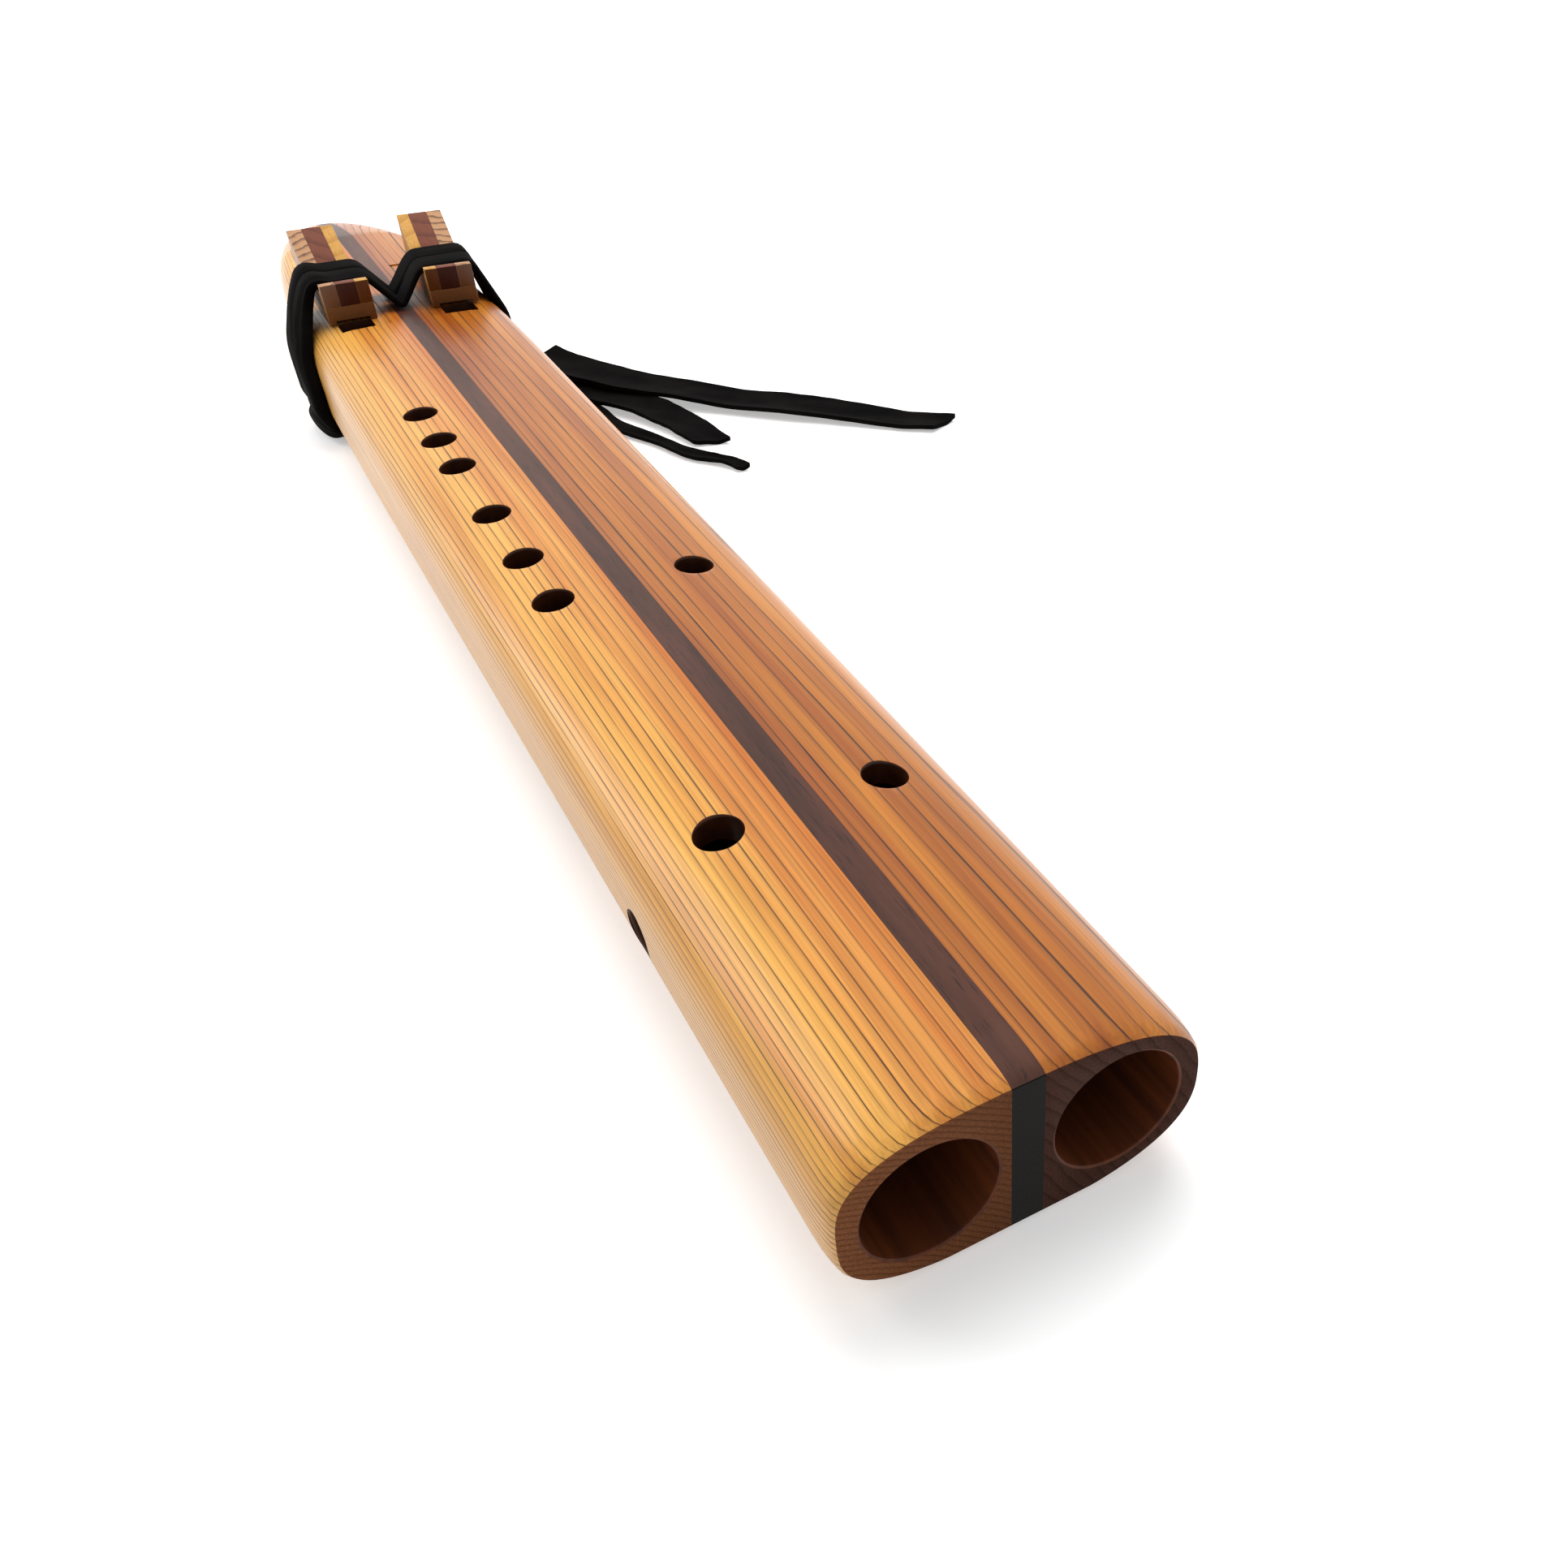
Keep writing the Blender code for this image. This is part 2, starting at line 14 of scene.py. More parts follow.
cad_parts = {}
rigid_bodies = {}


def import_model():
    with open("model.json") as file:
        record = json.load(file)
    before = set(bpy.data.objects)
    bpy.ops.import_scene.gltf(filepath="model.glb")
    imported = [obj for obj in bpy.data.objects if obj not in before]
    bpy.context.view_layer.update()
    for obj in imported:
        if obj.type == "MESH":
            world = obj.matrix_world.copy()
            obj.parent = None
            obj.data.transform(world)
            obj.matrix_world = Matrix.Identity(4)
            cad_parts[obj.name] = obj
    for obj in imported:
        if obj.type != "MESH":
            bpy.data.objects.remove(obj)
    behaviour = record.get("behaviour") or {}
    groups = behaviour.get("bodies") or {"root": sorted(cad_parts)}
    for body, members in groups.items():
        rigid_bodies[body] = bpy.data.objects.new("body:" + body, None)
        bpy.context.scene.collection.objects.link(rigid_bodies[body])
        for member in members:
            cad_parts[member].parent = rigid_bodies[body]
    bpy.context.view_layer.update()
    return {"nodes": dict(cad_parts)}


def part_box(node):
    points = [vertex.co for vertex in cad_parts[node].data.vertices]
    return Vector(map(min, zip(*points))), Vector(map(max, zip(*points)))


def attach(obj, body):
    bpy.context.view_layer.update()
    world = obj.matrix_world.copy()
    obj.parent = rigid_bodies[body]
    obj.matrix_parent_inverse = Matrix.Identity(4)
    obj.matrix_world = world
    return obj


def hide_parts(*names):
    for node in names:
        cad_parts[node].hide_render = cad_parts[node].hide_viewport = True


for old in list(bpy.data.objects):
    bpy.data.objects.remove(old, do_unlink=True)
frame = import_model()
scene = bpy.context.scene

# ---- Camera ---------------------------------------------------------------
# A short lens held about 25 cm from the foot, looking down along the flute, so
# the foot is large and the mouth end falls away. The frame is cropped off centre.
foot_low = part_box("centre_strip")[0]
camera_data = bpy.data.cameras.new("camera")
camera_data.lens = 31.9
camera_data.sensor_width = 36.0
camera_data.shift_x = -0.130
camera_data.shift_y = 0.0368
camera_data.clip_start = 0.01
camera = bpy.data.objects.new("camera", camera_data)
scene.collection.objects.link(camera)
camera.location = (-0.0791, foot_low.y - 0.1234, 0.2023)
camera_yaw = radians(30.26)
camera_pitch = radians(38.76)
camera_roll = radians(-0.58)
camera.matrix_world = (Matrix.Translation(camera.location)
                       @ Matrix.Rotation(-camera_yaw, 4, 'Z')
                       @ Matrix.Rotation(pi / 2 - camera_pitch, 4, 'X')
                       @ Matrix.Rotation(camera_roll, 4, 'Z'))
scene.camera = camera

# ---- Loose ends of the lace -----------------------------------------------
# Flat black leather lace. Three ends leave the knot on the drone's flank and lie
# on the table: a long broad one, a broad short one and a thin offcut, each cut to
# a slanting point.


def add(nodes, kind, settings=None, **inputs):
    """Add a shader node; an input is a value, or the socket that feeds it."""
    node = nodes.id_data.nodes.new(kind)
    for name, value in (settings or {}).items():
        setattr(node, name, value)
    for name, value in inputs.items():
        key = int(name[1:]) if name[0] == "i" and name[1:].isdigit() else name.replace("_", " ")
        if isinstance(value, bpy.types.NodeSocket):
            nodes.id_data.links.new(value, node.inputs[key])
        else:
            node.inputs[key].default_value = value
    return node


def linear(hex_colour):
    """An sRGB hex colour as linear RGBA."""
    values = []
    for i in (1, 3, 5):
        s = int(hex_colour[i:i + 2], 16) / 255
        values.append(s / 12.92 if s <= 0.04045 else ((s + 0.055) / 1.055) ** 2.4)
    return (*values, 1.0)


def new_material(name):
    """A material with its Principled shader and its node list."""
    material = bpy.data.materials.new(name)
    material.use_nodes = True
    nodes = material.node_tree.nodes
    return material, nodes, nodes["Principled BSDF"]


def link(nodes, source, target):
    nodes.id_data.links.new(source, target)


def ramp(nodes, factor, stops, interpolation='LINEAR'):
    """A colour ramp through (position, colour) stops."""
    node = add(nodes, 'ShaderNodeValToRGB', Fac=factor)
    node.color_ramp.interpolation = interpolation
    elements = node.color_ramp.elements
    while len(elements) < len(stops):
        elements.new(0.5)
    for element, (position, colour) in zip(elements, stops):
        element.position = position
        element.color = colour
    return node.outputs["Color"]


# Chrome-tanned lace, dyed through: nearly black and dull, softly creased, with a
# pebbled grain about 0.6 mm across.
leather, nodes, shader = new_material("waxed_black_leather")
place = add(nodes, 'ShaderNodeTexCoord').outputs["Object"]
pebble = add(nodes, 'ShaderNodeTexVoronoi', {"feature": 'SMOOTH_F1'}, Vector=place,
             Scale=1 / 0.0006, Smoothness=0.7)
crease = add(nodes, 'ShaderNodeTexNoise', Vector=place, Scale=1 / 0.0042, Detail=3.0)
shade = add(nodes, 'ShaderNodeTexNoise', Vector=place, Scale=1 / 0.012, Detail=2.0)
tone = ramp(nodes, shade.outputs["Fac"], [(0.35, linear("#060505")), (0.7, linear("#0E0C0B"))])
link(nodes, tone, shader.inputs["Base Color"])
shader.inputs["Roughness"].default_value = 0.78
shader.inputs["Specular IOR Level"].default_value = 0.03
pebbles = add(nodes, 'ShaderNodeBump', Strength=0.25, Distance=0.00006,
              Height=pebble.outputs["Distance"])
creases = add(nodes, 'ShaderNodeBump', Strength=0.30, Distance=0.0004,
              Height=crease.outputs["Fac"], Normal=pebbles.outputs["Normal"])
link(nodes, creases.outputs["Normal"], shader.inputs["Normal"])


def shown(name, bm, material, body, sharp=40):
    """Link a finished mesh as a smooth-shaded piece that rides on a body."""
    mesh = bpy.data.meshes.new(name)
    bm.to_mesh(mesh)
    bm.free()
    mesh.materials.append(material)
    mesh.shade_smooth()
    mesh.set_sharp_from_angle(angle=radians(sharp))
    piece = bpy.data.objects.new(name, mesh)
    scene.collection.objects.link(piece)
    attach(piece, body)
    return piece


def smooth_path(points, steps):
    """Points read from one smooth curve through the given ones."""
    path = [Vector(points[0])]
    count = len(points)
    for i in range(count - 1):
        a = Vector(points[i])
        b = Vector(points[i + 1])
        before = Vector(points[max(i - 1, 0)])
        after = Vector(points[min(i + 2, count - 1)])
        path += interpolate_bezier(a, a + (b - before) / 6, b - (after - a) / 6, b, steps + 1)[1:]
    return path


knot_low, knot_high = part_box("lace_knot")
knot_centre = (knot_low + knot_high) / 2
# Metres beyond the knot's centre in X and Y, and height above the table.
TAIL_ROUTES = {
    "lace_tail_long": ((0.0068, -0.0020, 0.0072), (0.0112, -0.0110, 0.0062),
                       (0.0180, -0.0250, 0.0056), (0.0290, -0.0425, 0.0049),
                       (0.0440, -0.0600, 0.0042), (0.0600, -0.0770, 0.0024),
                       (0.0750, -0.0930, 0.0032), (0.0900, -0.1080, 0.0022),
                       (0.1050, -0.1240, 0.0013), (0.1180, -0.1350, 0.0011)),
    "lace_tail_short": ((0.0060, -0.0125, 0.0028), (0.0100, -0.0230, 0.0028),
                        (0.0170, -0.0430, 0.0028), (0.0280, -0.0660, 0.0026),
                        (0.0345, -0.0860, 0.0018), (0.0380, -0.1060, 0.0011)),
    "lace_tail_thin": ((0.0060, -0.0120, 0.0010), (0.0080, -0.0280, 0.0010),
                       (0.0110, -0.0520, 0.0010), (0.0140, -0.0760, 0.0010),
                       (0.0220, -0.0960, 0.0010), (0.0280, -0.1140, 0.0010),
                       (0.0355, -0.1240, 0.0011), (0.0390, -0.1330, 0.0010)),
}
# Width, width at the tip, and thickness.
TAIL_SHAPES = {
    "lace_tail_long": (0.018, 0.012, 0.0016),
    "lace_tail_short": (0.016, 0.012, 0.0015),
    "lace_tail_thin": (0.006, 0.004, 0.0014),
}


def lace_end(name, points, width, tip_width, thickness):
    """A flat lace along its route, cupped a little and rippled like worn leather."""
    path = smooth_path(points, 12)
    last = len(path) - 1
    across_steps = 12
    bm = bmesh.new()
    bmesh.ops.create_grid(bm, x_segments=across_steps, y_segments=last, size=0.5)
    bm.verts.ensure_lookup_table()
    for vert in bm.verts:
        share = vert.co.x * 2
        i = min(max(round((vert.co.y + 0.5) * last), 0), last)
        t = i / last
        heading = path[min(i + 1, last)] - path[max(i - 1, 0)]
        across = Vector((-heading.y, heading.x, 0)).normalized()
        half = (width + (tip_width - width) * t ** 2) / 2
        ripple = noise.noise(Vector((t * 9, share * 1.3, width * 300))) * 0.0006
        ragged = noise.noise(Vector((t * 30, share * 0.5, width * 900))) * 0.0004 * abs(share)
        slant = share * half * 0.5 * max(0.0, (t - 0.9) / 0.1) ** 2
        forward = heading.normalized() * slant
        cup = 0.0007 * share * share
        vert.co = path[i] + across * (share * (half + ragged)) + forward + Vector((0, 0, cup + ripple))
    bmesh.ops.solidify(bm, geom=bm.faces, thickness=thickness)
    bmesh.ops.recalc_face_normals(bm, faces=bm.faces)
    low = min(vert.co.z for vert in bm.verts)
    if low < 0.0001:
        bmesh.ops.translate(bm, vec=(0, 0, 0.0001 - low), verts=bm.verts)
    piece = shown("shown_" + name, bm, leather, "flute")
    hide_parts(name)
    return piece


for tail, route in TAIL_ROUTES.items():
    placed = [(knot_centre.x + x, knot_centre.y + y, z) for x, y, z in route]
    lace_end(tail, placed, *TAIL_SHAPES[tail])

# ---- Body outline ---------------------------------------------------------
# Two bored chambers and the strip between them are glued up first and then shaped
# as one bar: oval at the foot, squarer under the blocks, drawn in to a beak.
strip_low, strip_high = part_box("centre_strip")
plug_low, plug_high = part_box("melody_divider")
block_low, block_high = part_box("melody_block_base")
body_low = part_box("melody_top")[0]
FOOT = strip_low.y
LENGTH = strip_high.y - FOOT
STRIP_HALF = strip_high.x
BODY_HALF = -body_low.x
AXIS_HEIGHT = (plug_low.z + plug_high.z) / 2
BORE_OFFSET = -(plug_low.x + plug_high.x) / 2
BORE_RADIUS = 0.0127
CROWN = strip_high.z - AXIS_HEIGHT
BLOCK_FRONT = block_low.y - FOOT
BLOCK_REAR = block_high.y - FOOT
FLAT_DEPTH = 0.0006
RIM_INSET = 0.0014
RIM_LENGTH = 0.009
# The beak's curves run on past its blunt tip by the overrun, which the lengths include.
NOSE_TAPER = 0.248
NOSE_DROP = 0.085
NOSE_OVERRUN = 0.018
RELIEF = 0.0022
RELIEF_START = 0.280
RELIEF_RUN = 0.070
SECTION_POINTS = 120
RINGS = 200


def blend(value):
    t = min(max(value, 0.0), 1.0)
    return t * t * (3 - 2 * t)


def roundness(from_foot, side):
    """Superellipse power of the section: 2 is an oval, more is squarer."""
    foot_power = 3.0 if side < 0 else 2.6
    power = foot_power + (4.4 - foot_power) * min(from_foot / (BLOCK_FRONT - 0.04), 1.0)
    to_tip = min(max((from_foot - BLOCK_REAR) / (LENGTH - BLOCK_REAR), 0.0), 1.0)
    return power + (2.3 - power) * to_tip


def section(from_foot, angle, grow=0.0):
    """The body's skin at a distance from the foot, at an angle round the section."""
    rim = max(1 - from_foot / RIM_LENGTH, 0.0)
    inset = RIM_INSET * (1 - sqrt(1 - rim * rim)) - grow
    narrow = max((from_foot - LENGTH + NOSE_TAPER - NOSE_OVERRUN) / NOSE_TAPER, 0.0)
    drop = max((from_foot - LENGTH + NOSE_DROP - NOSE_OVERRUN) / NOSE_DROP, 0.0)
    nose = sqrt(1 - drop)
    lift = RELIEF * blend((from_foot - LENGTH + RELIEF_START) / RELIEF_RUN)
    width = BODY_HALF * sqrt(1 - narrow ** 2.4) - inset
    c, s = cos(angle), sin(angle)
    power = roundness(from_foot, 1 if c > 0 else -1)
    reach = (abs(c) ** power + abs(s) ** power) ** (-1 / power)
    if s >= 0:
        z = (CROWN * nose - inset) * s * reach
    else:
        depth = (AXIS_HEIGHT - lift) * nose - inset
        z = max((depth + FLAT_DEPTH) * s * reach, -depth)
    return width * c * reach, AXIS_HEIGHT + z


def ring_station(i):
    """Distances from the foot, closer together at the rim and at the beak's tip."""
    t = i / RINGS
    even = LENGTH * t
    if even < 0.020:
        return 0.020 * (even / 0.020) ** 1.6
    if even > LENGTH - 0.030:
        return LENGTH - 0.030 * ((LENGTH - even) / 0.030) ** 1.6
    return even


def body_bar():
    """A round bar with its rings moved out to the body's skin."""
    bm = bmesh.new()
    bmesh.ops.create_cone(bm, cap_ends=True, segments=SECTION_POINTS, radius1=1,
                          radius2=1, depth=1)
    long_edges = [e for e in bm.edges if abs(e.verts[0].co.z - e.verts[1].co.z) > 0.5]
    bmesh.ops.subdivide_edges(bm, edges=long_edges, cuts=RINGS - 1)
    for vert in bm.verts:
        from_foot = ring_station(round((0.5 - vert.co.z) * RINGS))
        angle = Vector((vert.co.x, vert.co.y)).angle_signed(Vector((1, 0)), 0.0)
        x, z = section(from_foot, angle)
        vert.co = (x, FOOT + from_foot, z)
    bmesh.ops.recalc_face_normals(bm, faces=bm.faces)
    return bm


def sawn(bm, x, keep_side):
    """Saw the bar along a plane across X and close the cut."""
    geom = bm.verts[:] + bm.edges[:] + bm.faces[:]
    result = bmesh.ops.bisect_plane(bm, geom=geom, plane_co=(x, 0, 0), plane_no=(keep_side, 0, 0),
                                    clear_inner=True)
    rim = [g for g in result["geom_cut"] if isinstance(g, bmesh.types.BMEdge)]
    bmesh.ops.contextual_create(bm, geom=rim)
    bmesh.ops.recalc_face_normals(bm, faces=bm.faces)


# ---- Drills and gouges ----------------------------------------------------
# The bores are routed and the finger holes drilled from outside, then each rim is
# eased by hand, so a hole's edge rolls in over about half a millimetre.
DRILL_STEPS = 40


def drill(name, centre, direction, radius, depth, ease, material):
    """A drill with a flared top: centre is where its axis meets the skin."""
    bm = bmesh.new()
    profile = [(0, -depth), (radius, -depth)]
    for i in range(6):
        a = pi / 2 * i / 5
        profile.append((radius + ease * (1 - cos(a)), -ease * (1 - sin(a))))
    profile += [(radius + ease, 0.006), (0, 0.006)]
    verts = [bm.verts.new((r, 0, z)) for r, z in profile]
    edges = [bm.edges.new(pair) for pair in zip(verts, verts[1:])]
    bmesh.ops.spin(bm, geom=verts + edges, axis=(0, 0, 1), cent=(0, 0, 0), steps=DRILL_STEPS,
                   angle=2 * pi, use_merge=True)
    bmesh.ops.remove_doubles(bm, verts=bm.verts, dist=0.000005)
    bmesh.ops.recalc_face_normals(bm, faces=bm.faces)
    turn = Vector((0, 0, 1)).rotation_difference(Vector(direction)).to_matrix().to_4x4()
    bm.transform(Matrix.Translation(centre) @ turn)
    return cutter(name, bm, material)


def cutter(name, bm, material):
    mesh = bpy.data.meshes.new(name)
    bm.to_mesh(mesh)
    bm.free()
    mesh.materials.append(material)
    item = bpy.data.objects.new(name, mesh)
    scene.collection.objects.link(item)
    return item


def carve(bm, material, cutters):
    """Cut a bmesh with each cutter, then clear the cutters away."""
    mesh = bpy.data.meshes.new("blank")
    bm.to_mesh(mesh)
    bm.free()
    mesh.materials.append(material)
    blank = bpy.data.objects.new("blank", mesh)
    scene.collection.objects.link(blank)
    for item in cutters:
        boolean = blank.modifiers.new(item.name, 'BOOLEAN')
        boolean.operation = 'DIFFERENCE'
        boolean.solver = 'EXACT'
        boolean.material_mode = 'TRANSFER'
        boolean.object = item
    carved = bpy.data.meshes.new_from_object(blank.evaluated_get(bpy.context.evaluated_depsgraph_get()))
    for item in [blank] + cutters:
        bpy.data.objects.remove(item, do_unlink=True)
    return carved


def skin_point(side, from_foot, x):
    """A point on the upper skin above a given X, and the skin's outward direction."""
    low, high = (0.0, pi / 2) if side > 0 else (pi / 2, pi)
    for _ in range(40):
        middle = (low + high) / 2
        if section(from_foot, middle)[0] > x:
            low = middle
        else:
            high = middle
    a = section(from_foot, low + 0.02)
    b = section(from_foot, low - 0.02)
    here = section(from_foot, low)
    normal = Vector((a[1] - b[1], 0, b[0] - a[0])).normalized()
    return Vector((here[0], FOOT + from_foot, here[1])), normal


# ---- Cedar and walnut -----------------------------------------------------
# Straight-grained red cedar under a thin clear lacquer. Growth rings are shells
# round a pith that lies off to the lower left, so they run as lines along the
# chambers and as slanting arcs across the foot, where the end grain drinks the
# finish and goes a dark purplish brown.


def rings(nodes, place, pith, spacing, wander):
    """How far through its growth ring each point of the wood is, from 0 to 1."""
    grain = add(nodes, 'ShaderNodeMapping', Vector=place, Scale=(1, 0.035, 1)).outputs[0]
    drift = add(nodes, 'ShaderNodeTexNoise', Vector=grain, Scale=1 / 0.014, Detail=2.0).outputs[0]
    fine = add(nodes, 'ShaderNodeTexNoise', Vector=grain, Scale=1 / 0.0018, Detail=3.0).outputs[0]
    flat = add(nodes, 'ShaderNodeMapping', Vector=place, Location=(-pith[0], 0, -pith[1]),
               Scale=(1, 0, 1)).outputs[0]
    radius = add(nodes, 'ShaderNodeVectorMath', {"operation": 'LENGTH'}, i0=flat).outputs["Value"]
    moved = add(nodes, 'ShaderNodeMath', {"operation": 'MULTIPLY_ADD'}, i0=drift, i1=wander, i2=radius)
    moved = add(nodes, 'ShaderNodeMath', {"operation": 'MULTIPLY_ADD'}, i0=fine, i1=wander * 0.10,
                i2=moved.outputs[0])
    count = add(nodes, 'ShaderNodeMath', {"operation": 'DIVIDE'}, i0=moved.outputs[0], i1=spacing)
    share = add(nodes, 'ShaderNodeMath', {"operation": 'FRACT'}, i0=count.outputs[0]).outputs[0]
    return share, grain, count.outputs[0]


def mixed(nodes, factor, a, b):
    """Mix two colours; each is a socket or an RGBA colour."""
    return add(nodes, 'ShaderNodeMix', {"data_type": 'RGBA'}, i0=factor, i6=a, i7=b).outputs[2]


def cedar(name, pale, deep, line, pith, spacing, wander, line_share, turn_x, end_pale, end_dark):
    """Lacquered cedar with soft early wood and thin dark late-wood lines."""
    material, nodes, shader = new_material(name)
    place = add(nodes, 'ShaderNodeTexCoord').outputs["Object"]
    share, grain, count = rings(nodes, place, pith, spacing, wander)
    # each ring has its own weight of dark line, and the line breaks up here and there
    whole = add(nodes, 'ShaderNodeMath', {"operation": 'FLOOR'}, i0=count).outputs[0]
    luck = add(nodes, 'ShaderNodeTexWhiteNoise', {"noise_dimensions": '1D'}, W=whole).outputs["Value"]
    breaks = add(nodes, 'ShaderNodeTexNoise', Vector=grain, Scale=1 / 0.0011, Detail=3.0).outputs[0]
    weight = add(nodes, 'ShaderNodeMath', {"operation": 'MULTIPLY_ADD'}, i0=luck, i1=0.45, i2=0.55).outputs[0]
    frayed = add(nodes, 'ShaderNodeMapRange', i0=breaks, i1=0.34, i2=0.56, i3=0.55, i4=1.0).outputs[0]
    weight = add(nodes, 'ShaderNodeMath', {"operation": 'MULTIPLY'}, i0=weight, i1=frayed).outputs[0]
    dark = ramp(nodes, share, [(0.0, (0.10, 0.10, 0.10, 1)), (0.05, (0, 0, 0, 1)),
                               (1 - line_share * 2.4, (0.05, 0.05, 0.05, 1)),
                               (1 - line_share, (0.25, 0.25, 0.25, 1)),
                               (1 - line_share * 0.6, (1, 1, 1, 1)), (0.985, (1, 1, 1, 1))])
    dark = add(nodes, 'ShaderNodeMath', {"operation": 'MULTIPLY'}, i0=dark, i1=weight).outputs[0]
    # the tone deepens towards the centre strip and pales towards the flank, in stripes a few rings wide
    split = add(nodes, 'ShaderNodeSeparateXYZ', i0=place)
    stripes = add(nodes, 'ShaderNodeTexNoise', Vector=grain, Scale=1 / 0.006, Detail=2.0).outputs[0]
    inward = add(nodes, 'ShaderNodeMapRange', i0=split.outputs["X"], i1=turn_x[0], i2=turn_x[1],
                 i3=0.25, i4=-0.25).outputs[0]
    stripes = add(nodes, 'ShaderNodeMath', {"operation": 'ADD'}, i0=stripes, i1=inward).outputs[0]
    tone = ramp(nodes, stripes, [(0.20, linear(deep)), (0.74, linear(pale))])
    fibres = add(nodes, 'ShaderNodeMapping', Vector=place, Scale=(1, 0.012, 1)).outputs[0]
    fibre = add(nodes, 'ShaderNodeTexNoise', Vector=fibres, Scale=1 / 0.0005, Detail=2.0).outputs[0]
    fleck = add(nodes, 'ShaderNodeMapRange', i0=fibre, i1=0.3, i2=0.7, i3=0.84, i4=1.10).outputs[0]
    tone = mixed(nodes, dark, tone, linear(line))
    tone = add(nodes, 'ShaderNodeVectorMath', {"operation": 'SCALE'}, i0=tone, Scale=fleck).outputs[0]
    # end grain, on the sawn foot only
    ends = ramp(nodes, share, [(0.0, linear(end_pale)), (0.5, linear(end_pale)), (0.9, linear(end_dark))])
    pores = add(nodes, 'ShaderNodeTexNoise', Vector=place, Scale=1 / 0.0005, Detail=2.0).outputs[0]
    pitted = add(nodes, 'ShaderNodeMapRange', i0=pores, i1=0.35, i2=0.7, i3=0.75, i4=1.15).outputs[0]
    across = add(nodes, 'ShaderNodeMapRange', i0=split.outputs["X"], i1=-0.036, i2=0.0, i3=1.25,
                 i4=0.80).outputs[0]
    pitted = add(nodes, 'ShaderNodeMath', {"operation": 'MULTIPLY'}, i0=pitted, i1=across).outputs[0]
    ends = add(nodes, 'ShaderNodeVectorMath', {"operation": 'SCALE'}, i0=ends, Scale=pitted).outputs[0]
    at_end = add(nodes, 'ShaderNodeMath', {"operation": 'LESS_THAN'}, i0=split.outputs["Y"],
                 i1=FOOT + 0.0002).outputs[0]
    link(nodes, mixed(nodes, at_end, tone, ends), shader.inputs["Base Color"])
    rough = add(nodes, 'ShaderNodeMapRange', i0=dark, i1=0.0, i2=1.0, i3=0.30, i4=0.45).outputs[0]
    rough = add(nodes, 'ShaderNodeMath', {"operation": 'MULTIPLY_ADD'}, i0=at_end, i1=0.35,
                i2=rough).outputs[0]
    link(nodes, rough, shader.inputs["Roughness"])
    furrow = add(nodes, 'ShaderNodeMath', {"operation": 'MULTIPLY_ADD'}, i0=dark, i1=-1.2,
                 i2=fibre).outputs[0]
    bump = add(nodes, 'ShaderNodeBump', Strength=0.5, Distance=0.00016, Height=furrow).outputs[0]
    link(nodes, bump, shader.inputs["Normal"])
    # the foot is bare wood: no lacquer and little shine
    sheen = add(nodes, 'ShaderNodeMapRange', i0=at_end, i1=0.0, i2=1.0, i3=0.28, i4=0.06).outputs[0]
    link(nodes, sheen, shader.inputs["Specular IOR Level"])
    coat = add(nodes, 'ShaderNodeMapRange', i0=at_end, i1=0.0, i2=1.0, i3=0.16, i4=0.0).outputs[0]
    link(nodes, coat, shader.inputs["Coat Weight"])
    shader.inputs["Coat Roughness"].default_value = 0.18
    return material


honey_cedar = cedar("lacquered_honey_cedar", pale="#E3A64E", deep="#BE6A22", line="#3E1A04",
                    pith=(-0.075, -0.065), spacing=0.00125, wander=0.0014, line_share=0.17,
                    turn_x=(-0.026, -0.004), end_pale="#7E4E30", end_dark="#6C4026")
red_cedar = cedar("lacquered_red_cedar", pale="#C87E28", deep="#944A12", line="#2A0F03",
                  pith=(-0.105, -0.060), spacing=0.0024, wander=0.0038, line_share=0.16,
                  turn_x=(0.060, -0.010), end_pale="#533328", end_dark="#43281E")

# Black walnut strip: fine open pores drawn out along the grain, a purplish brown.
walnut, nodes, shader = new_material("lacquered_walnut")
place = add(nodes, 'ShaderNodeTexCoord').outputs["Object"]
drawn = add(nodes, 'ShaderNodeMapping', Vector=place, Scale=(1, 0.06, 1)).outputs[0]
figure = add(nodes, 'ShaderNodeTexNoise', Vector=drawn, Scale=1 / 0.0035, Detail=4.0).outputs[0]
pore = add(nodes, 'ShaderNodeTexNoise', Vector=drawn, Scale=1 / 0.0004, Detail=2.0).outputs[0]
body_tone = ramp(nodes, figure, [(0.3, linear("#3C2219")), (0.7, linear("#553225"))])
pits = add(nodes, 'ShaderNodeMapRange', i0=pore, i1=0.58, i2=0.72, i3=0.0, i4=0.75).outputs[0]
body_tone = mixed(nodes, pits, body_tone, linear("#1E120F"))
y = add(nodes, 'ShaderNodeSeparateXYZ', i0=place).outputs["Y"]
at_end = add(nodes, 'ShaderNodeMath', {"operation": 'LESS_THAN'}, i0=y, i1=FOOT + 0.0002).outputs[0]
body_tone = mixed(nodes, at_end, body_tone, linear("#120F0D"))
link(nodes, body_tone, shader.inputs["Base Color"])
sheen = add(nodes, 'ShaderNodeMapRange', i0=at_end, i1=0.0, i2=1.0, i3=0.28, i4=0.06).outputs[0]
link(nodes, sheen, shader.inputs["Specular IOR Level"])
shader.inputs["Roughness"].default_value = 0.36
bump = add(nodes, 'ShaderNodeBump', Strength=0.3, Distance=0.0001, Height=pore).outputs[0]
link(nodes, bump, shader.inputs["Normal"])
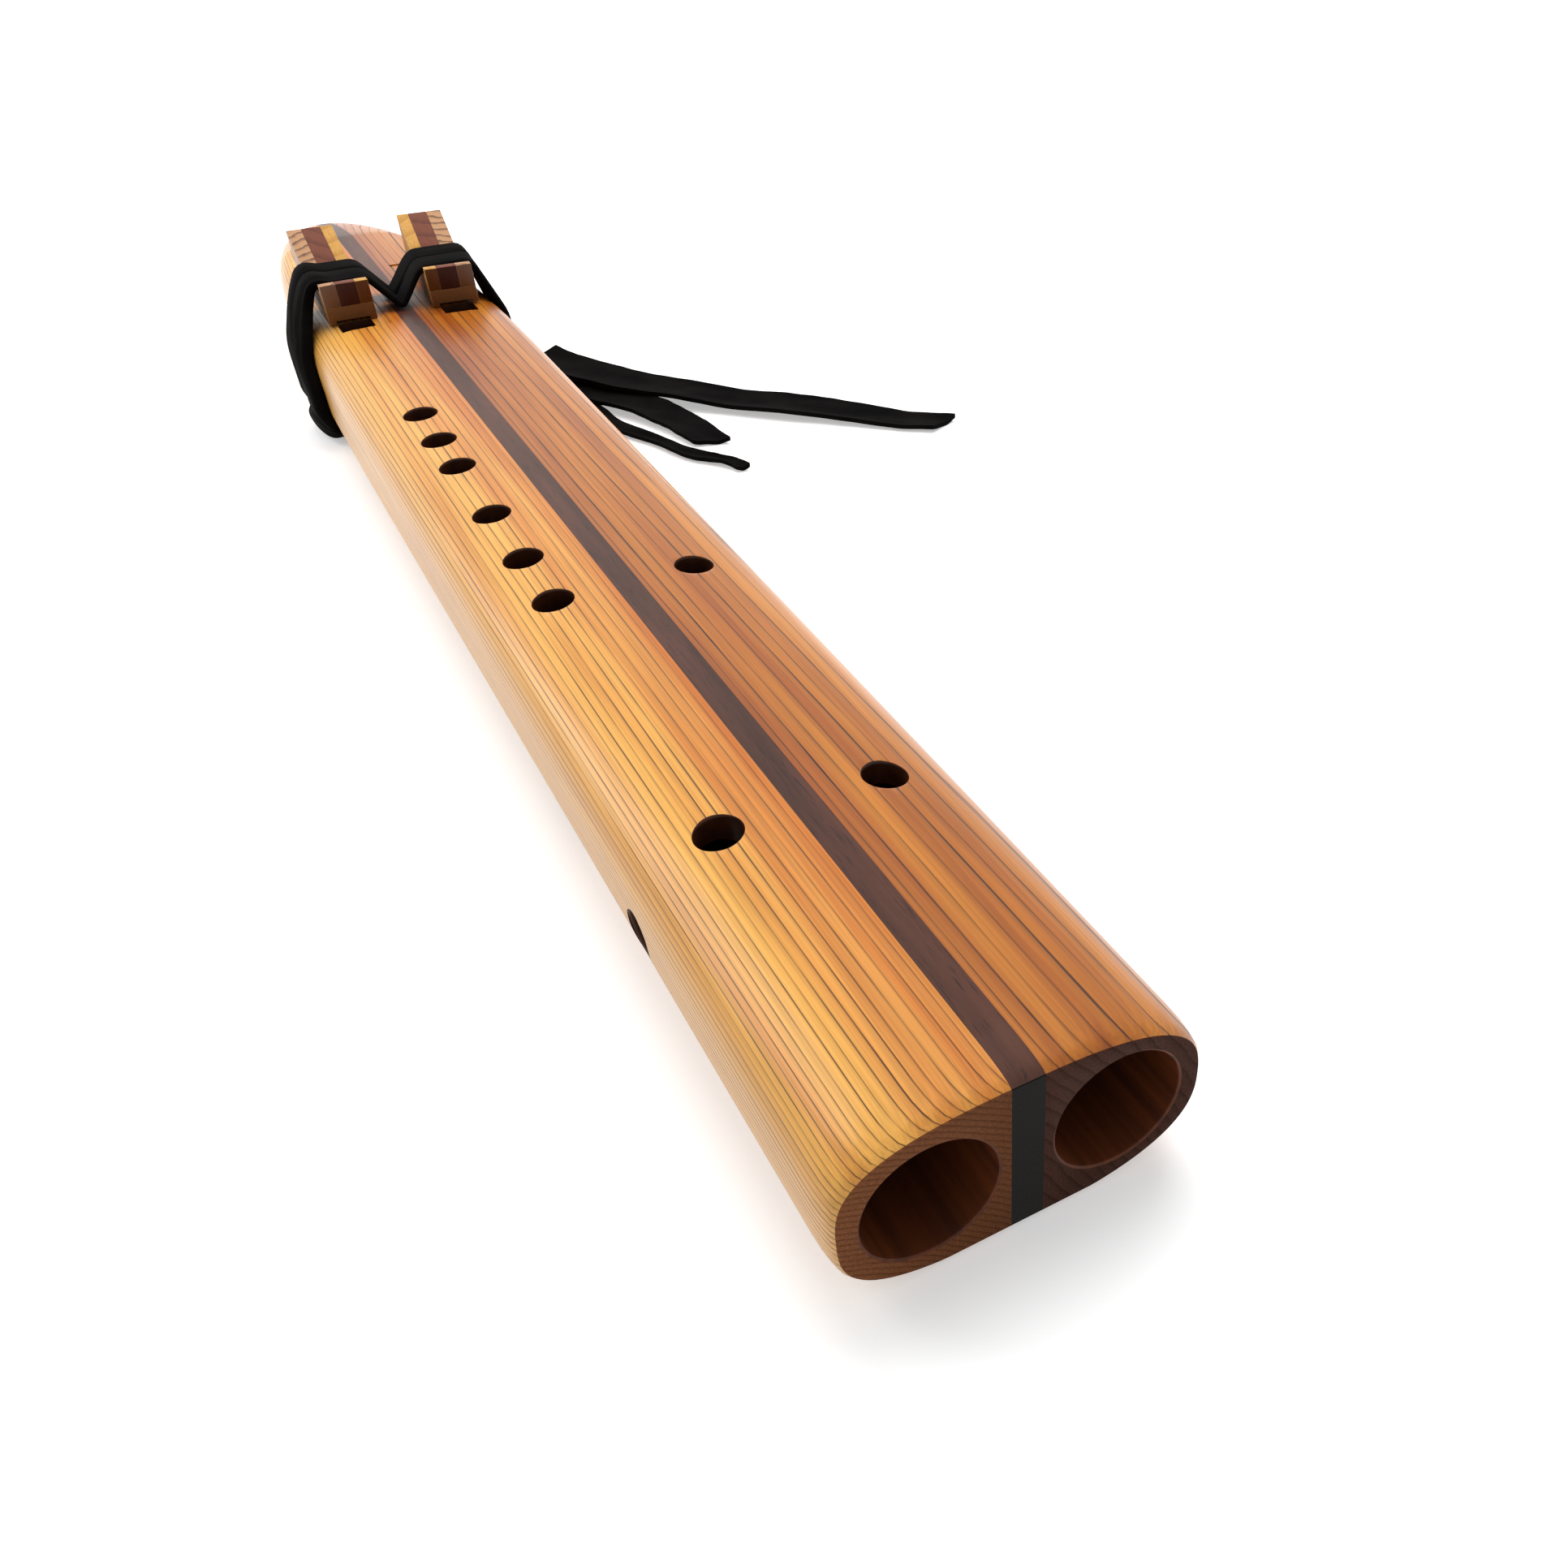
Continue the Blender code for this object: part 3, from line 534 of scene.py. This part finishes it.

# Inside the bores the cedar is sealed but not sanded: faint router streaks and a
# dark red-brown that is partly the sealer's deeper red and partly painted shade. It
# is used in the bores, finger holes and sound holes. It is painted lighter over the
# first 35 mm as light reaching in, and darker deeper in as painted shade.
bore_wood_painted_shade, nodes, shader = new_material("sealed_bore_cedar_painted_shade")
place = add(nodes, 'ShaderNodeTexCoord').outputs["Object"]
drawn = add(nodes, 'ShaderNodeMapping', Vector=place, Scale=(1, 0.03, 1)).outputs[0]
streak = add(nodes, 'ShaderNodeTexNoise', Vector=drawn, Scale=1 / 0.0028, Detail=2.0).outputs[0]
painted_bore_tone = ramp(nodes, streak, [(0.30, linear("#34170A")), (0.70, linear("#4E260F"))])
depth = add(nodes, 'ShaderNodeSeparateXYZ', i0=place).outputs["Y"]
# painted light near the foot's mouth, fading to painted shade deeper in the bore
reach = add(nodes, 'ShaderNodeMapRange', i0=depth, i1=FOOT, i2=FOOT + 0.035, i3=2.0, i4=0.7).outputs[0]
painted_bore_tone = add(nodes, 'ShaderNodeVectorMath', {"operation": 'SCALE'}, i0=painted_bore_tone, Scale=reach).outputs[0]
link(nodes, painted_bore_tone, shader.inputs["Base Color"])
shader.inputs["Specular IOR Level"].default_value = 0.2
shader.inputs["Roughness"].default_value = 0.46

# The dividers close the bores off under the blocks and aren't seen.
for name in ("melody_divider", "drone_divider"):
    divider = frame["nodes"][name].data
    divider.materials.clear()
    divider.materials.append(bore_wood_painted_shade)

# ---- Chambers -------------------------------------------------------------
# The melody chamber is honey-coloured cedar with six finger holes, a tuning hole
# and one more through its flank; the drone chamber is redder, with two holes.
FINGER_HOLES = (0.3282, 0.3046, 0.2826, 0.2460, 0.2160, 0.1903)
TUNING_HOLE = 0.0840
DRONE_HOLES = (0.0845, 0.1900)
SIDE_HOLE = 0.0887
FINGER_DIAMETER = 0.0102
TUNING_DIAMETER = 0.0101
DRONE_DIAMETER = 0.0096
SIDE_RADIUS = 0.0053
SIDE_DROP = 0.0035
HOLE_EASE = 0.0006
BLOW_RADIUS = 0.0038
BLOW_OFFSET = 0.0092
NEST_HALF = 0.0110
SOUND_HALF = 0.00585
SOUND_LEAD = 0.0070
SPLITTING_LEAD = 0.0045


def bore_gouge(name, side):
    """Full bore with an eased mouth, stopping short of the beak."""
    bm = bmesh.new()
    stops = [(-0.004, BORE_RADIUS + 0.0005), (0.0, BORE_RADIUS + 0.0005), (0.0003, BORE_RADIUS + 0.0001),
             (0.0007, BORE_RADIUS), (LENGTH - 0.180, BORE_RADIUS)]
    axis = Vector((side * BORE_OFFSET, 0, AXIS_HEIGHT))
    bmesh.ops.create_cone(bm, cap_ends=True, segments=72, radius1=1, radius2=1, depth=1)
    long_edges = [e for e in bm.edges if abs(e.verts[0].co.z - e.verts[1].co.z) > 0.5]
    bmesh.ops.subdivide_edges(bm, edges=long_edges, cuts=len(stops) - 2)
    for vert in bm.verts:
        from_foot, radius = stops[round((0.5 - vert.co.z) * (len(stops) - 1))]
        vert.co = axis + Vector((vert.co.x * radius, FOOT + from_foot, vert.co.y * radius))
    bmesh.ops.recalc_face_normals(bm, faces=bm.faces)
    return cutter(name, bm, bore_wood_painted_shade)


def gouge(name, low, high, material, lead=0.0):
    """A box-shaped cut; lead slopes its front face under, towards the foot."""
    bm = bmesh.new()
    bmesh.ops.create_cube(bm, size=1)
    size = Vector(high) - Vector(low)
    bmesh.ops.scale(bm, vec=size, verts=bm.verts)
    bmesh.ops.translate(bm, vec=(Vector(low) + Vector(high)) / 2, verts=bm.verts)
    for vert in bm.verts:
        if vert.co.z < (low[2] + high[2]) / 2 and vert.co.y < (low[1] + high[1]) / 2:
            vert.co.y -= lead
    return cutter(name, bm, material)


def blow_hole(side):
    """Drilled from the mouth end down into the slow-air chamber."""
    bm = bmesh.new()
    bmesh.ops.create_cone(bm, cap_ends=True, segments=48, radius1=BLOW_RADIUS, radius2=BLOW_RADIUS,
                          depth=0.050, matrix=Matrix.Rotation(radians(90), 4, 'X'))
    bmesh.ops.translate(bm, vec=(side * BLOW_OFFSET, FOOT + LENGTH - 0.019, AXIS_HEIGHT), verts=bm.verts)
    return cutter("blow_hole", bm, bore_wood_painted_shade)


def head_cuts(side, material):
    """The flat nest that a block sits on, with the sound hole in front of its face."""
    centre = side * BORE_OFFSET
    front = FOOT + BLOCK_FRONT
    nest_z = block_low.z - 0.0002
    return [gouge("nest", (centre - NEST_HALF, front - 0.009, nest_z),
                  (centre + NEST_HALF, FOOT + BLOCK_REAR + 0.0035, nest_z + 0.01), material),
            gouge("sound_hole", (centre - SOUND_HALF, front - SOUND_LEAD, nest_z - 0.012),
                  (centre + SOUND_HALF, front + 0.0010, nest_z + 0.006), bore_wood_painted_shade, SPLITTING_LEAD)]


def chamber(name, side, material, replaced, drills):
    bm = body_bar()
    sawn(bm, side * STRIP_HALF, side)
    cuts = [bore_gouge("bore", side), blow_hole(side)] + head_cuts(side, material) + drills
    mesh = carve(bm, material, cuts)
    mesh.shade_smooth()
    mesh.set_sharp_from_angle(angle=radians(38))
    piece = bpy.data.objects.new(name, mesh)
    scene.collection.objects.link(piece)
    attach(piece, "flute")
    for node in replaced:
        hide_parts(node)
    return piece


def top_drill(name, side, from_foot, diameter):
    point, normal = skin_point(side, from_foot, side * BORE_OFFSET)
    return drill(name, point, normal, diameter / 2, 0.014, HOLE_EASE, bore_wood_painted_shade)


drills = [top_drill(f"finger_{i}", -1, d, FINGER_DIAMETER) for i, d in enumerate(FINGER_HOLES)]
drills.append(top_drill("tuning", -1, TUNING_HOLE, TUNING_DIAMETER))
flank = Vector((-BODY_HALF + 0.0003, FOOT + SIDE_HOLE, AXIS_HEIGHT - SIDE_DROP))
drills.append(drill("side", flank, (-1, 0, -0.10), SIDE_RADIUS, 0.012, HOLE_EASE, bore_wood_painted_shade))
melody = chamber("melody_chamber", -1, honey_cedar, ("melody_top", "melody_bottom"), drills)
drills = [top_drill(f"drone_{i}", 1, d, DRONE_DIAMETER) for i, d in enumerate(DRONE_HOLES)]
drone = chamber("drone_chamber", 1, red_cedar, ("drone_top", "drone_bottom"), drills)

bm = body_bar()
sawn(bm, -STRIP_HALF, 1)
sawn(bm, STRIP_HALF, -1)
strip = shown("walnut_strip", bm, walnut, "flute")
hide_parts("centre_strip")

# ---- Blocks ---------------------------------------------------------------
# Each block ("bird") is a strip of brown cedar with the flue cut in its underside
# and three slips glued on top: cedar on edge, a walnut core and pale maple. It is
# sawn to a low saddle for the lace and a ramp at the back, then lightly sanded.
crest_low, crest_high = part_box("melody_block_outer_cheek")
BLOCK_WIDTH = block_high.x - block_low.x
BLOCK_LENGTH = block_high.y - block_low.y
BASE_TOP = crest_low.z - block_low.z
CREST = crest_high.z - block_low.z
FRONT_HEIGHT = 0.0134
SADDLE_HEIGHT = 0.0104
LEDGE_LENGTH = 0.0036
SADDLE_LENGTH = 0.0324
CHEEK_WIDTH = 0.0054
CORE_WIDTH = 0.0068
FLUE_WIDTH = 0.0117
FLUE_HEIGHT = 0.0011
FLUE_LENGTH = 0.025
DRONE_BLOCK_TURN = radians(-4.2)


def slip(low_x, high_x, profile, softened):
    """A slip of wood sawn to a side profile, with its arrises broken by sanding."""
    bm = bmesh.new()
    verts = [bm.verts.new((low_x, y, z)) for y, z in profile]
    face = bm.faces.new(verts)
    grown = bmesh.ops.extrude_face_region(bm, geom=[face])
    moved = [g for g in grown["geom"] if isinstance(g, bmesh.types.BMVert)]
    bmesh.ops.translate(bm, vec=(high_x - low_x, 0, 0), verts=moved)
    bmesh.ops.recalc_face_normals(bm, faces=bm.faces)
    bmesh.ops.bevel(bm, geom=bm.edges, offset=softened, offset_type='OFFSET', segments=2,
                    profile=0.5, affect='EDGES', material=-1, clamp_overlap=True)
    return bm


def end_faces(nodes):
    """1 on the sawn ends of a slip and 0 along its sides; the darker colour put there is
    partly end grain that drinks the oil and partly painted shade.
    """
    normal = add(nodes, 'ShaderNodeNewGeometry').outputs["True Normal"]
    y = add(nodes, 'ShaderNodeSeparateXYZ', i0=normal).outputs["Y"]
    size = add(nodes, 'ShaderNodeMath', {"operation": 'ABSOLUTE'}, i0=y).outputs[0]
    return add(nodes, 'ShaderNodeMapRange', i0=size, i1=0.80, i2=0.95, i3=0.0, i4=1.0).outputs[0]


def block_wood(name, pale, deep, end, spacing, pith, roughness):
    """Sanded, unlacquered slips: soft rings with no gloss, darker on the sawn ends,
    partly as end grain and partly as painted shade.
    """
    material, nodes, shader = new_material(name)
    place = add(nodes, 'ShaderNodeTexCoord').outputs["Object"]
    share = rings(nodes, place, pith, spacing, 0.0016)[0]
    tone = ramp(nodes, share, [(0.0, linear(pale)), (0.5, linear(pale)), (0.93, linear(deep))])
    fibres = add(nodes, 'ShaderNodeMapping', Vector=place, Scale=(1, 0.05, 1)).outputs[0]
    fibre = add(nodes, 'ShaderNodeTexNoise', Vector=fibres, Scale=1 / 0.0005, Detail=3.0).outputs[0]
    fleck = add(nodes, 'ShaderNodeMapRange', i0=fibre, i1=0.3, i2=0.7, i3=0.84, i4=1.12).outputs[0]
    # darker sawn ends: partly end grain, partly painted shade
    tone = mixed(nodes, end_faces(nodes), tone, linear(end))
    tone = add(nodes, 'ShaderNodeVectorMath', {"operation": 'SCALE'}, i0=tone, Scale=fleck).outputs[0]
    link(nodes, tone, shader.inputs["Base Color"])
    shader.inputs["Specular IOR Level"].default_value = 0.15
    shader.inputs["Roughness"].default_value = roughness
    bump = add(nodes, 'ShaderNodeBump', Strength=0.3, Distance=0.0001, Height=fibre).outputs[0]
    link(nodes, bump, shader.inputs["Normal"])
    return material


# The last colour of each is for the sawn ends: end grain, made darker still as painted shade.
block_base_wood = block_wood("oiled_brown_cedar", "#A5794A", "#8E6238", "#6E4420", 0.0021,
                             (-0.06, 0.10), 0.48)
block_core_wood = block_wood("oiled_walnut", "#6B3A28", "#5A2E20", "#38140A", 0.0030,
                             (0.05, 0.30), 0.46)
block_maple = block_wood("oiled_maple", "#C08F48", "#B07F3C", "#5A3010", 0.0030,
                         (-0.05, 0.34), 0.44)

# The outer cheek's wood stands on end: its rings cross the ramp as wavy dark ribs
# 4 mm apart, and its surface has sunk a little between them.
block_rib_wood, nodes, shader = new_material("oiled_cross_grain_cedar")
place = add(nodes, 'ShaderNodeTexCoord').outputs["Object"]
wobble = add(nodes, 'ShaderNodeTexNoise', Vector=place, Scale=1 / 0.0034, Detail=2.0).outputs[0]
split = add(nodes, 'ShaderNodeSeparateXYZ', i0=place)
lean = add(nodes, 'ShaderNodeMath', {"operation": 'ABSOLUTE'}, i0=split.outputs["X"]).outputs[0]
y = add(nodes, 'ShaderNodeMath', {"operation": 'MULTIPLY_ADD'}, i0=lean, i1=0.42,
        i2=split.outputs["Y"]).outputs[0]
y = add(nodes, 'ShaderNodeMath', {"operation": 'MULTIPLY_ADD'}, i0=wobble, i1=0.0034, i2=y).outputs[0]
y = add(nodes, 'ShaderNodeMath', {"operation": 'DIVIDE'}, i0=y, i1=0.0040).outputs[0]
rib = add(nodes, 'ShaderNodeMath', {"operation": 'FRACT'}, i0=y).outputs[0]
ribs = ramp(nodes, rib, [(0.0, linear("#B0825A")), (0.55, linear("#A87B52")), (0.80, linear("#6B4426")),
                         (0.90, linear("#4E2E18")), (0.97, linear("#A87B52"))])
# darker faces that point along the flute: painted shade, since here they are not end grain
ribs = mixed(nodes, end_faces(nodes), ribs, linear("#5E3A20"))
link(nodes, ribs, shader.inputs["Base Color"])
shader.inputs["Roughness"].default_value = 0.46
bump = add(nodes, 'ShaderNodeBump', Strength=0.5, Distance=0.0003, Height=rib).outputs[0]
link(nodes, bump, shader.inputs["Normal"])

ramp_foot = LEDGE_LENGTH + SADDLE_LENGTH
slip_profile = [(0, BASE_TOP), (BLOCK_LENGTH, BASE_TOP), (BLOCK_LENGTH, CREST),
                (ramp_foot, SADDLE_HEIGHT), (LEDGE_LENGTH, SADDLE_HEIGHT),
                (LEDGE_LENGTH, FRONT_HEIGHT), (0, FRONT_HEIGHT)]
base_profile = [(0, 0), (BLOCK_LENGTH, 0), (BLOCK_LENGTH, BASE_TOP), (0, BASE_TOP)]
for chamber_name, side, turn in (("melody", -1, 0.0), ("drone", 1, DRONE_BLOCK_TURN)):
    low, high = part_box(f"{chamber_name}_block_base")
    middle = (low + high) / 2
    turned = Matrix.Rotation(turn, 4, 'Z')
    seat = Vector((middle.x, middle.y, low.z)) - turned @ Vector((0, BLOCK_LENGTH / 2, 0))
    stand = Matrix.Translation(seat) @ turned
    half = BLOCK_WIDTH / 2
    cheek = half - CHEEK_WIDTH
    core = cheek - CORE_WIDTH
    flue = bmesh.new()
    bmesh.ops.create_cube(flue, size=1)
    flue.transform(stand @ Matrix.Translation((0, FLUE_LENGTH / 2 - 0.001, 0))
                   @ Matrix.Diagonal((FLUE_WIDTH, FLUE_LENGTH + 0.002, FLUE_HEIGHT * 2, 1)))
    bm = slip(-half, half, base_profile, 0.00025)
    bm.transform(stand)
    # the flue's walls take the dark walnut: painted shade in the slot, which is cut in the cedar base
    mesh = carve(bm, block_base_wood, [cutter("flue", flue, block_core_wood)])
    mesh.set_sharp_from_angle(angle=radians(30))
    base = bpy.data.objects.new(f"{chamber_name}_bird_base", mesh)
    scene.collection.objects.link(base)
    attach(base, f"{chamber_name}_block")
    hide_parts(f"{chamber_name}_block_base")
    for part, span, wood, slot in (("outer_cheek", (cheek, half), block_rib_wood, "block_cedar"),
                                   ("core", (core, cheek), block_core_wood, "block_walnut"),
                                   ("inner_cheek", (-half, core), block_maple, "block_maple")):
        low_x, high_x = sorted(side * x for x in span)
        bm = slip(low_x, high_x, slip_profile, 0.00018)
        bm.transform(stand)
        piece = shown(f"{chamber_name}_bird_{part}", bm, wood, f"{chamber_name}_block", 30)
        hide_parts(f"{chamber_name}_block_{part}")

# ---- Lace turns -----------------------------------------------------------
# One lace, folded double, goes twice round the body and over both blocks. It is
# pulled down into the gap between them, gathers into a thick bunch on the melody
# chamber's flank, and is flattened where the flute lies on it.
TURN_WIDTH = 0.0132
TURN_LEAD = 0.0066
TURN_THICKNESS = 0.0026
TURN_BUNCHED = 0.0056
TURN_UNDER = 0.0017
CLEAR = 0.0002


def girth(distance, turn):
    """The taut line round the body and over both blocks at one distance from the foot."""
    line = []
    for side in (1, -1):
        outline = [Vector(section(distance, pi / 2 - side * radians(a))) for a in range(2, 178, 3)]
        lean = -turn * (distance - BLOCK_FRONT) if side > 0 else 0.0
        block_half = BLOCK_WIDTH / 2
        corner_z = block_low.z + SADDLE_HEIGHT
        outer = Vector((side * (BORE_OFFSET + block_half) + lean, corner_z))
        inner = Vector((side * (BORE_OFFSET - block_half) + lean, corner_z))
        cloud = outline + [outer, inner]
        hull = [cloud[i] for i in convex_hull_2d(cloud)]
        flank = [p for p in hull if side * p.x > 0.002 and p.y < corner_z - 0.0005]
        flank = [p for p in flank if side * p.x > side * inner.x or p.y < AXIS_HEIGHT]
        flank.sort(key=lambda p: (p.y - AXIS_HEIGHT) + (side * p.x if p.y > AXIS_HEIGHT else -side * p.x))
        valley = Vector((side * 0.0012, AXIS_HEIGHT + CROWN + 0.0002))
        half_line = sorted(flank, key=lambda p: Vector((0, -1)).angle(p - Vector((0, AXIS_HEIGHT))))
        half_line += [outer, inner, valley]
        line += half_line if side > 0 else half_line[::-1]
    return line


def even_loop(points, count):
    """A closed line respaced evenly; eased() then rounds its corners as a bent strap's are."""
    lengths = [0.0]
    for a, b in zip(points, points[1:] + points[:1]):
        lengths.append(lengths[-1] + (b - a).length)
    spaced = []
    for i in range(count):
        goal = lengths[-1] * i / count
        j = max(k for k in range(len(points)) if lengths[k] <= goal)
        a, b = points[j], points[(j + 1) % len(points)]
        spaced.append(a.lerp(b, (goal - lengths[j]) / max(lengths[j + 1] - lengths[j], 1e-9)))
    return spaced


def eased(points, times):
    for _ in range(times):
        points = [(points[i - 1] + points[i] * 2 + points[(i + 1) % len(points)]) / 4
                  for i in range(len(points))]
    return points


def bunching(x, z):
    gathered = blend((-x - 0.020) / 0.012)
    full = TURN_THICKNESS + (TURN_BUNCHED - TURN_THICKNESS) * gathered
    return TURN_UNDER + (full - TURN_UNDER) * blend((z - 0.005) / 0.010)


def hoop(across_points, steps):
    """A ring with a rounded strap section; returns its mesh, radius 1 to the middle."""
    bm = bmesh.new()
    verts = []
    for i in range(across_points):
        a = 2 * pi * i / across_points
        u = abs(cos(a)) ** 0.6 * (1 if cos(a) > 0 else -1)
        w = abs(sin(a)) ** 0.6 * (1 if sin(a) > 0 else -1)
        verts.append(bm.verts.new((1 + w * 0.25, 0, u * 0.25)))
    edges = [bm.edges.new((verts[i - 1], verts[i])) for i in range(across_points)]
    bmesh.ops.spin(bm, geom=verts + edges, axis=(0, 0, 1), cent=(0, 0, 0), steps=steps,
                   angle=2 * pi, use_merge=True)
    return bm


def lace_turn(name, node, near, reach, seed):
    """One turn: a strap section carried round the girth, creased along its length."""
    steps = 280
    rows = 9
    loops = []
    for row in range(rows):
        distance = near + TURN_WIDTH * row / (rows - 1)
        loops.append(eased(even_loop(girth(distance, DRONE_BLOCK_TURN), steps), 3))
    bm = hoop(28, steps)
    for vert in bm.verts:
        spin_angle = Vector((vert.co.x, vert.co.y)).angle_signed(Vector((1, 0)), 0.0) % (2 * pi)
        j = round(spin_angle / (2 * pi) * steps) % steps
        u = vert.co.z * 2 + 0.5
        w = (Vector((vert.co.x, vert.co.y)).length - 1) * 2 + 0.5
        row = min(int(u * (rows - 1)), rows - 2)
        part = u * (rows - 1) - row
        point = loops[row][j].lerp(loops[row + 1][j], part)
        ahead = loops[row][(j + 2) % steps] - loops[row][j - 2]
        outward = Vector((ahead.y, -ahead.x)).normalized()
        thick = bunching(point.x, point.y)
        crease = noise.noise(Vector((u * 5 + seed, point.x * 25, point.y * 25)))
        gather = blend((-point.x - 0.018) / 0.012)
        lump = gather * blend((0.016 - point.y) / 0.010) * 0.0014
        lift = CLEAR + w * (thick + lump + crease * 0.0004 * (1 + 2.0 * gather))
        down = blend((block_low.z + SADDLE_HEIGHT - point.y) / 0.030)
        slip_forward = reach * down * blend(-point.x / 0.030)
        bow = 0.0006 * noise.noise(Vector((point.x * 30, point.y * 30, seed + 5)))
        in_valley = blend((0.011 - abs(point.x)) / 0.010) * (1 if point.y > AXIS_HEIGHT else 0)
        narrow = 1 - 0.15 * in_valley
        slip_forward += 0.0050 * in_valley
        y = near + TURN_WIDTH * (0.5 + (u - 0.5) * narrow) - slip_forward + bow
        z = max(point.y + outward.y * lift, 0.0002)
        vert.co = (point.x + outward.x * lift, FOOT + y, z)
    bmesh.ops.recalc_face_normals(bm, faces=bm.faces)
    piece = shown(name, bm, leather, "flute", 60)
    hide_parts(node)


first_turn = BLOCK_FRONT + TURN_LEAD
lace_turn("front_lace_turn", "lace_turn_front", first_turn, 0.022, 3.0)
lace_turn("rear_lace_turn", "lace_turn_rear", first_turn + TURN_WIDTH + 0.0002, 0.018, 11.0)

# The free end is tucked back under the turns on the melody side and bulges out there.
bm = bmesh.new()
bmesh.ops.create_uvsphere(bm, u_segments=48, v_segments=32, radius=1)
tuck_centre = Vector((-BODY_HALF - 0.0002, FOOT + first_turn - 0.0070, 0.0058))
for vert in bm.verts:
    fold = noise.noise(Vector((vert.co.x * 1.2, vert.co.y * 0.9, vert.co.z * 2.6)))
    swell = 1 + 0.16 * fold
    vert.co = tuck_centre + Vector((vert.co.x * 0.0052, vert.co.y * 0.0150 - vert.co.x * 0.0030,
                                    vert.co.z * 0.0050)) * swell
    vert.co.z = max(vert.co.z, 0.0003)
bmesh.ops.recalc_face_normals(bm, faces=bm.faces)
tuck = shown("lace_tucked_end", bm, leather, "flute", 60)

# ---- Knot -----------------------------------------------------------------
# The lace's ends come together in one overhand knot, pulled tight against the
# drone's flank just above the table.
bm = hoop(16, 120)
for vert in bm.verts:
    flat = Vector((vert.co.x, vert.co.y))
    t = flat.angle_signed(Vector((1, 0)), 0.0)
    middle, ahead = [Vector((-sin(3 * a) * 0.9, sin(a) + 2 * sin(2 * a), cos(a) - 2 * cos(2 * a)))
                     for a in (t, t + 0.02)]
    heading = (ahead - middle).normalized()
    outward = (middle - heading * middle.dot(heading)).normalized()
    across = heading.cross(outward)
    at = middle + outward * (flat.length - 1) * 3.2 + across * vert.co.z * 4.4
    half = (knot_high - knot_low) / 2
    vert.co = knot_centre + Vector((at.x * half.x / 1.7, at.y * half.y / 3.7, at.z * half.z / 3.7))
bmesh.ops.recalc_face_normals(bm, faces=bm.faces)
knot = shown("lace_overhand_knot", bm, leather, "flute", 60)
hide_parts("lace_knot")

# ---- Floor and light ------------------------------------------------------
# A white table under a large overhead light, which gives no highlights, and a window
# behind the mouth end to the left, which does. The background is white to the camera.
bm = bmesh.new()
bmesh.ops.create_grid(bm, x_segments=1, y_segments=1, size=6)
floor_paint, nodes, shader = new_material("white_table")
shader.inputs["Base Color"].default_value = linear("#E6E6E6")
shader.inputs["Roughness"].default_value = 0.9
ray = add(nodes, 'ShaderNodeLightPath')
seen = add(nodes, 'ShaderNodeMath', {"operation": 'MAXIMUM'}, i0=ray.outputs["Is Camera Ray"],
           i1=ray.outputs["Is Glossy Ray"]).outputs[0]
lift = add(nodes, 'ShaderNodeMath', {"operation": 'MULTIPLY'}, i0=seen, i1=0.42).outputs[0]
shader.inputs["Emission Color"].default_value = (1, 1, 1, 1)
link(nodes, lift, shader.inputs["Emission Strength"])
mesh = bpy.data.meshes.new("table")
bm.to_mesh(mesh)
bm.free()
mesh.materials.append(floor_paint)
table = bpy.data.objects.new("table", mesh)
scene.collection.objects.link(table)

world = bpy.data.worlds.new("studio")
scene.world = world
world.use_nodes = True
nodes = world.node_tree.nodes
sky = nodes["Background"]
sky.inputs["Color"].default_value = (1.0, 1.0, 1.0, 1)
ray = add(nodes, 'ShaderNodeLightPath')
seen = add(nodes, 'ShaderNodeMath', {"operation": 'MAXIMUM'}, i0=ray.outputs["Is Camera Ray"],
           i1=ray.outputs["Is Transmission Ray"]).outputs[0]
seen = add(nodes, 'ShaderNodeMath', {"operation": 'MAXIMUM'}, i0=seen,
           i1=ray.outputs["Is Glossy Ray"]).outputs[0]
level = add(nodes, 'ShaderNodeMapRange', i0=seen, i1=0.0, i2=1.0, i3=0.42, i4=1.0).outputs[0]
link(nodes, level, sky.inputs["Strength"])


def lamp(name, place, target, size, power):
    data = bpy.data.lights.new(name, 'AREA')
    data.shape = 'RECTANGLE'
    data.size, data.size_y = size
    data.energy = power
    item = bpy.data.objects.new(name, data)
    scene.collection.objects.link(item)
    item.location = place
    aim = Vector(target) - Vector(place)
    item.rotation_euler = aim.to_track_quat('-Z', 'Y').to_euler()
    return item


overhead = lamp("overhead", (0.50, 0.55, 1.45), (0, -0.05, 0), (1.3, 1.3), 30)
overhead.visible_glossy = False
lamp("window", (-0.95, 1.15, 1.05), (0, -0.05, 0), (0.9, 1.3), 13)

scene.view_settings.view_transform = 'Standard'
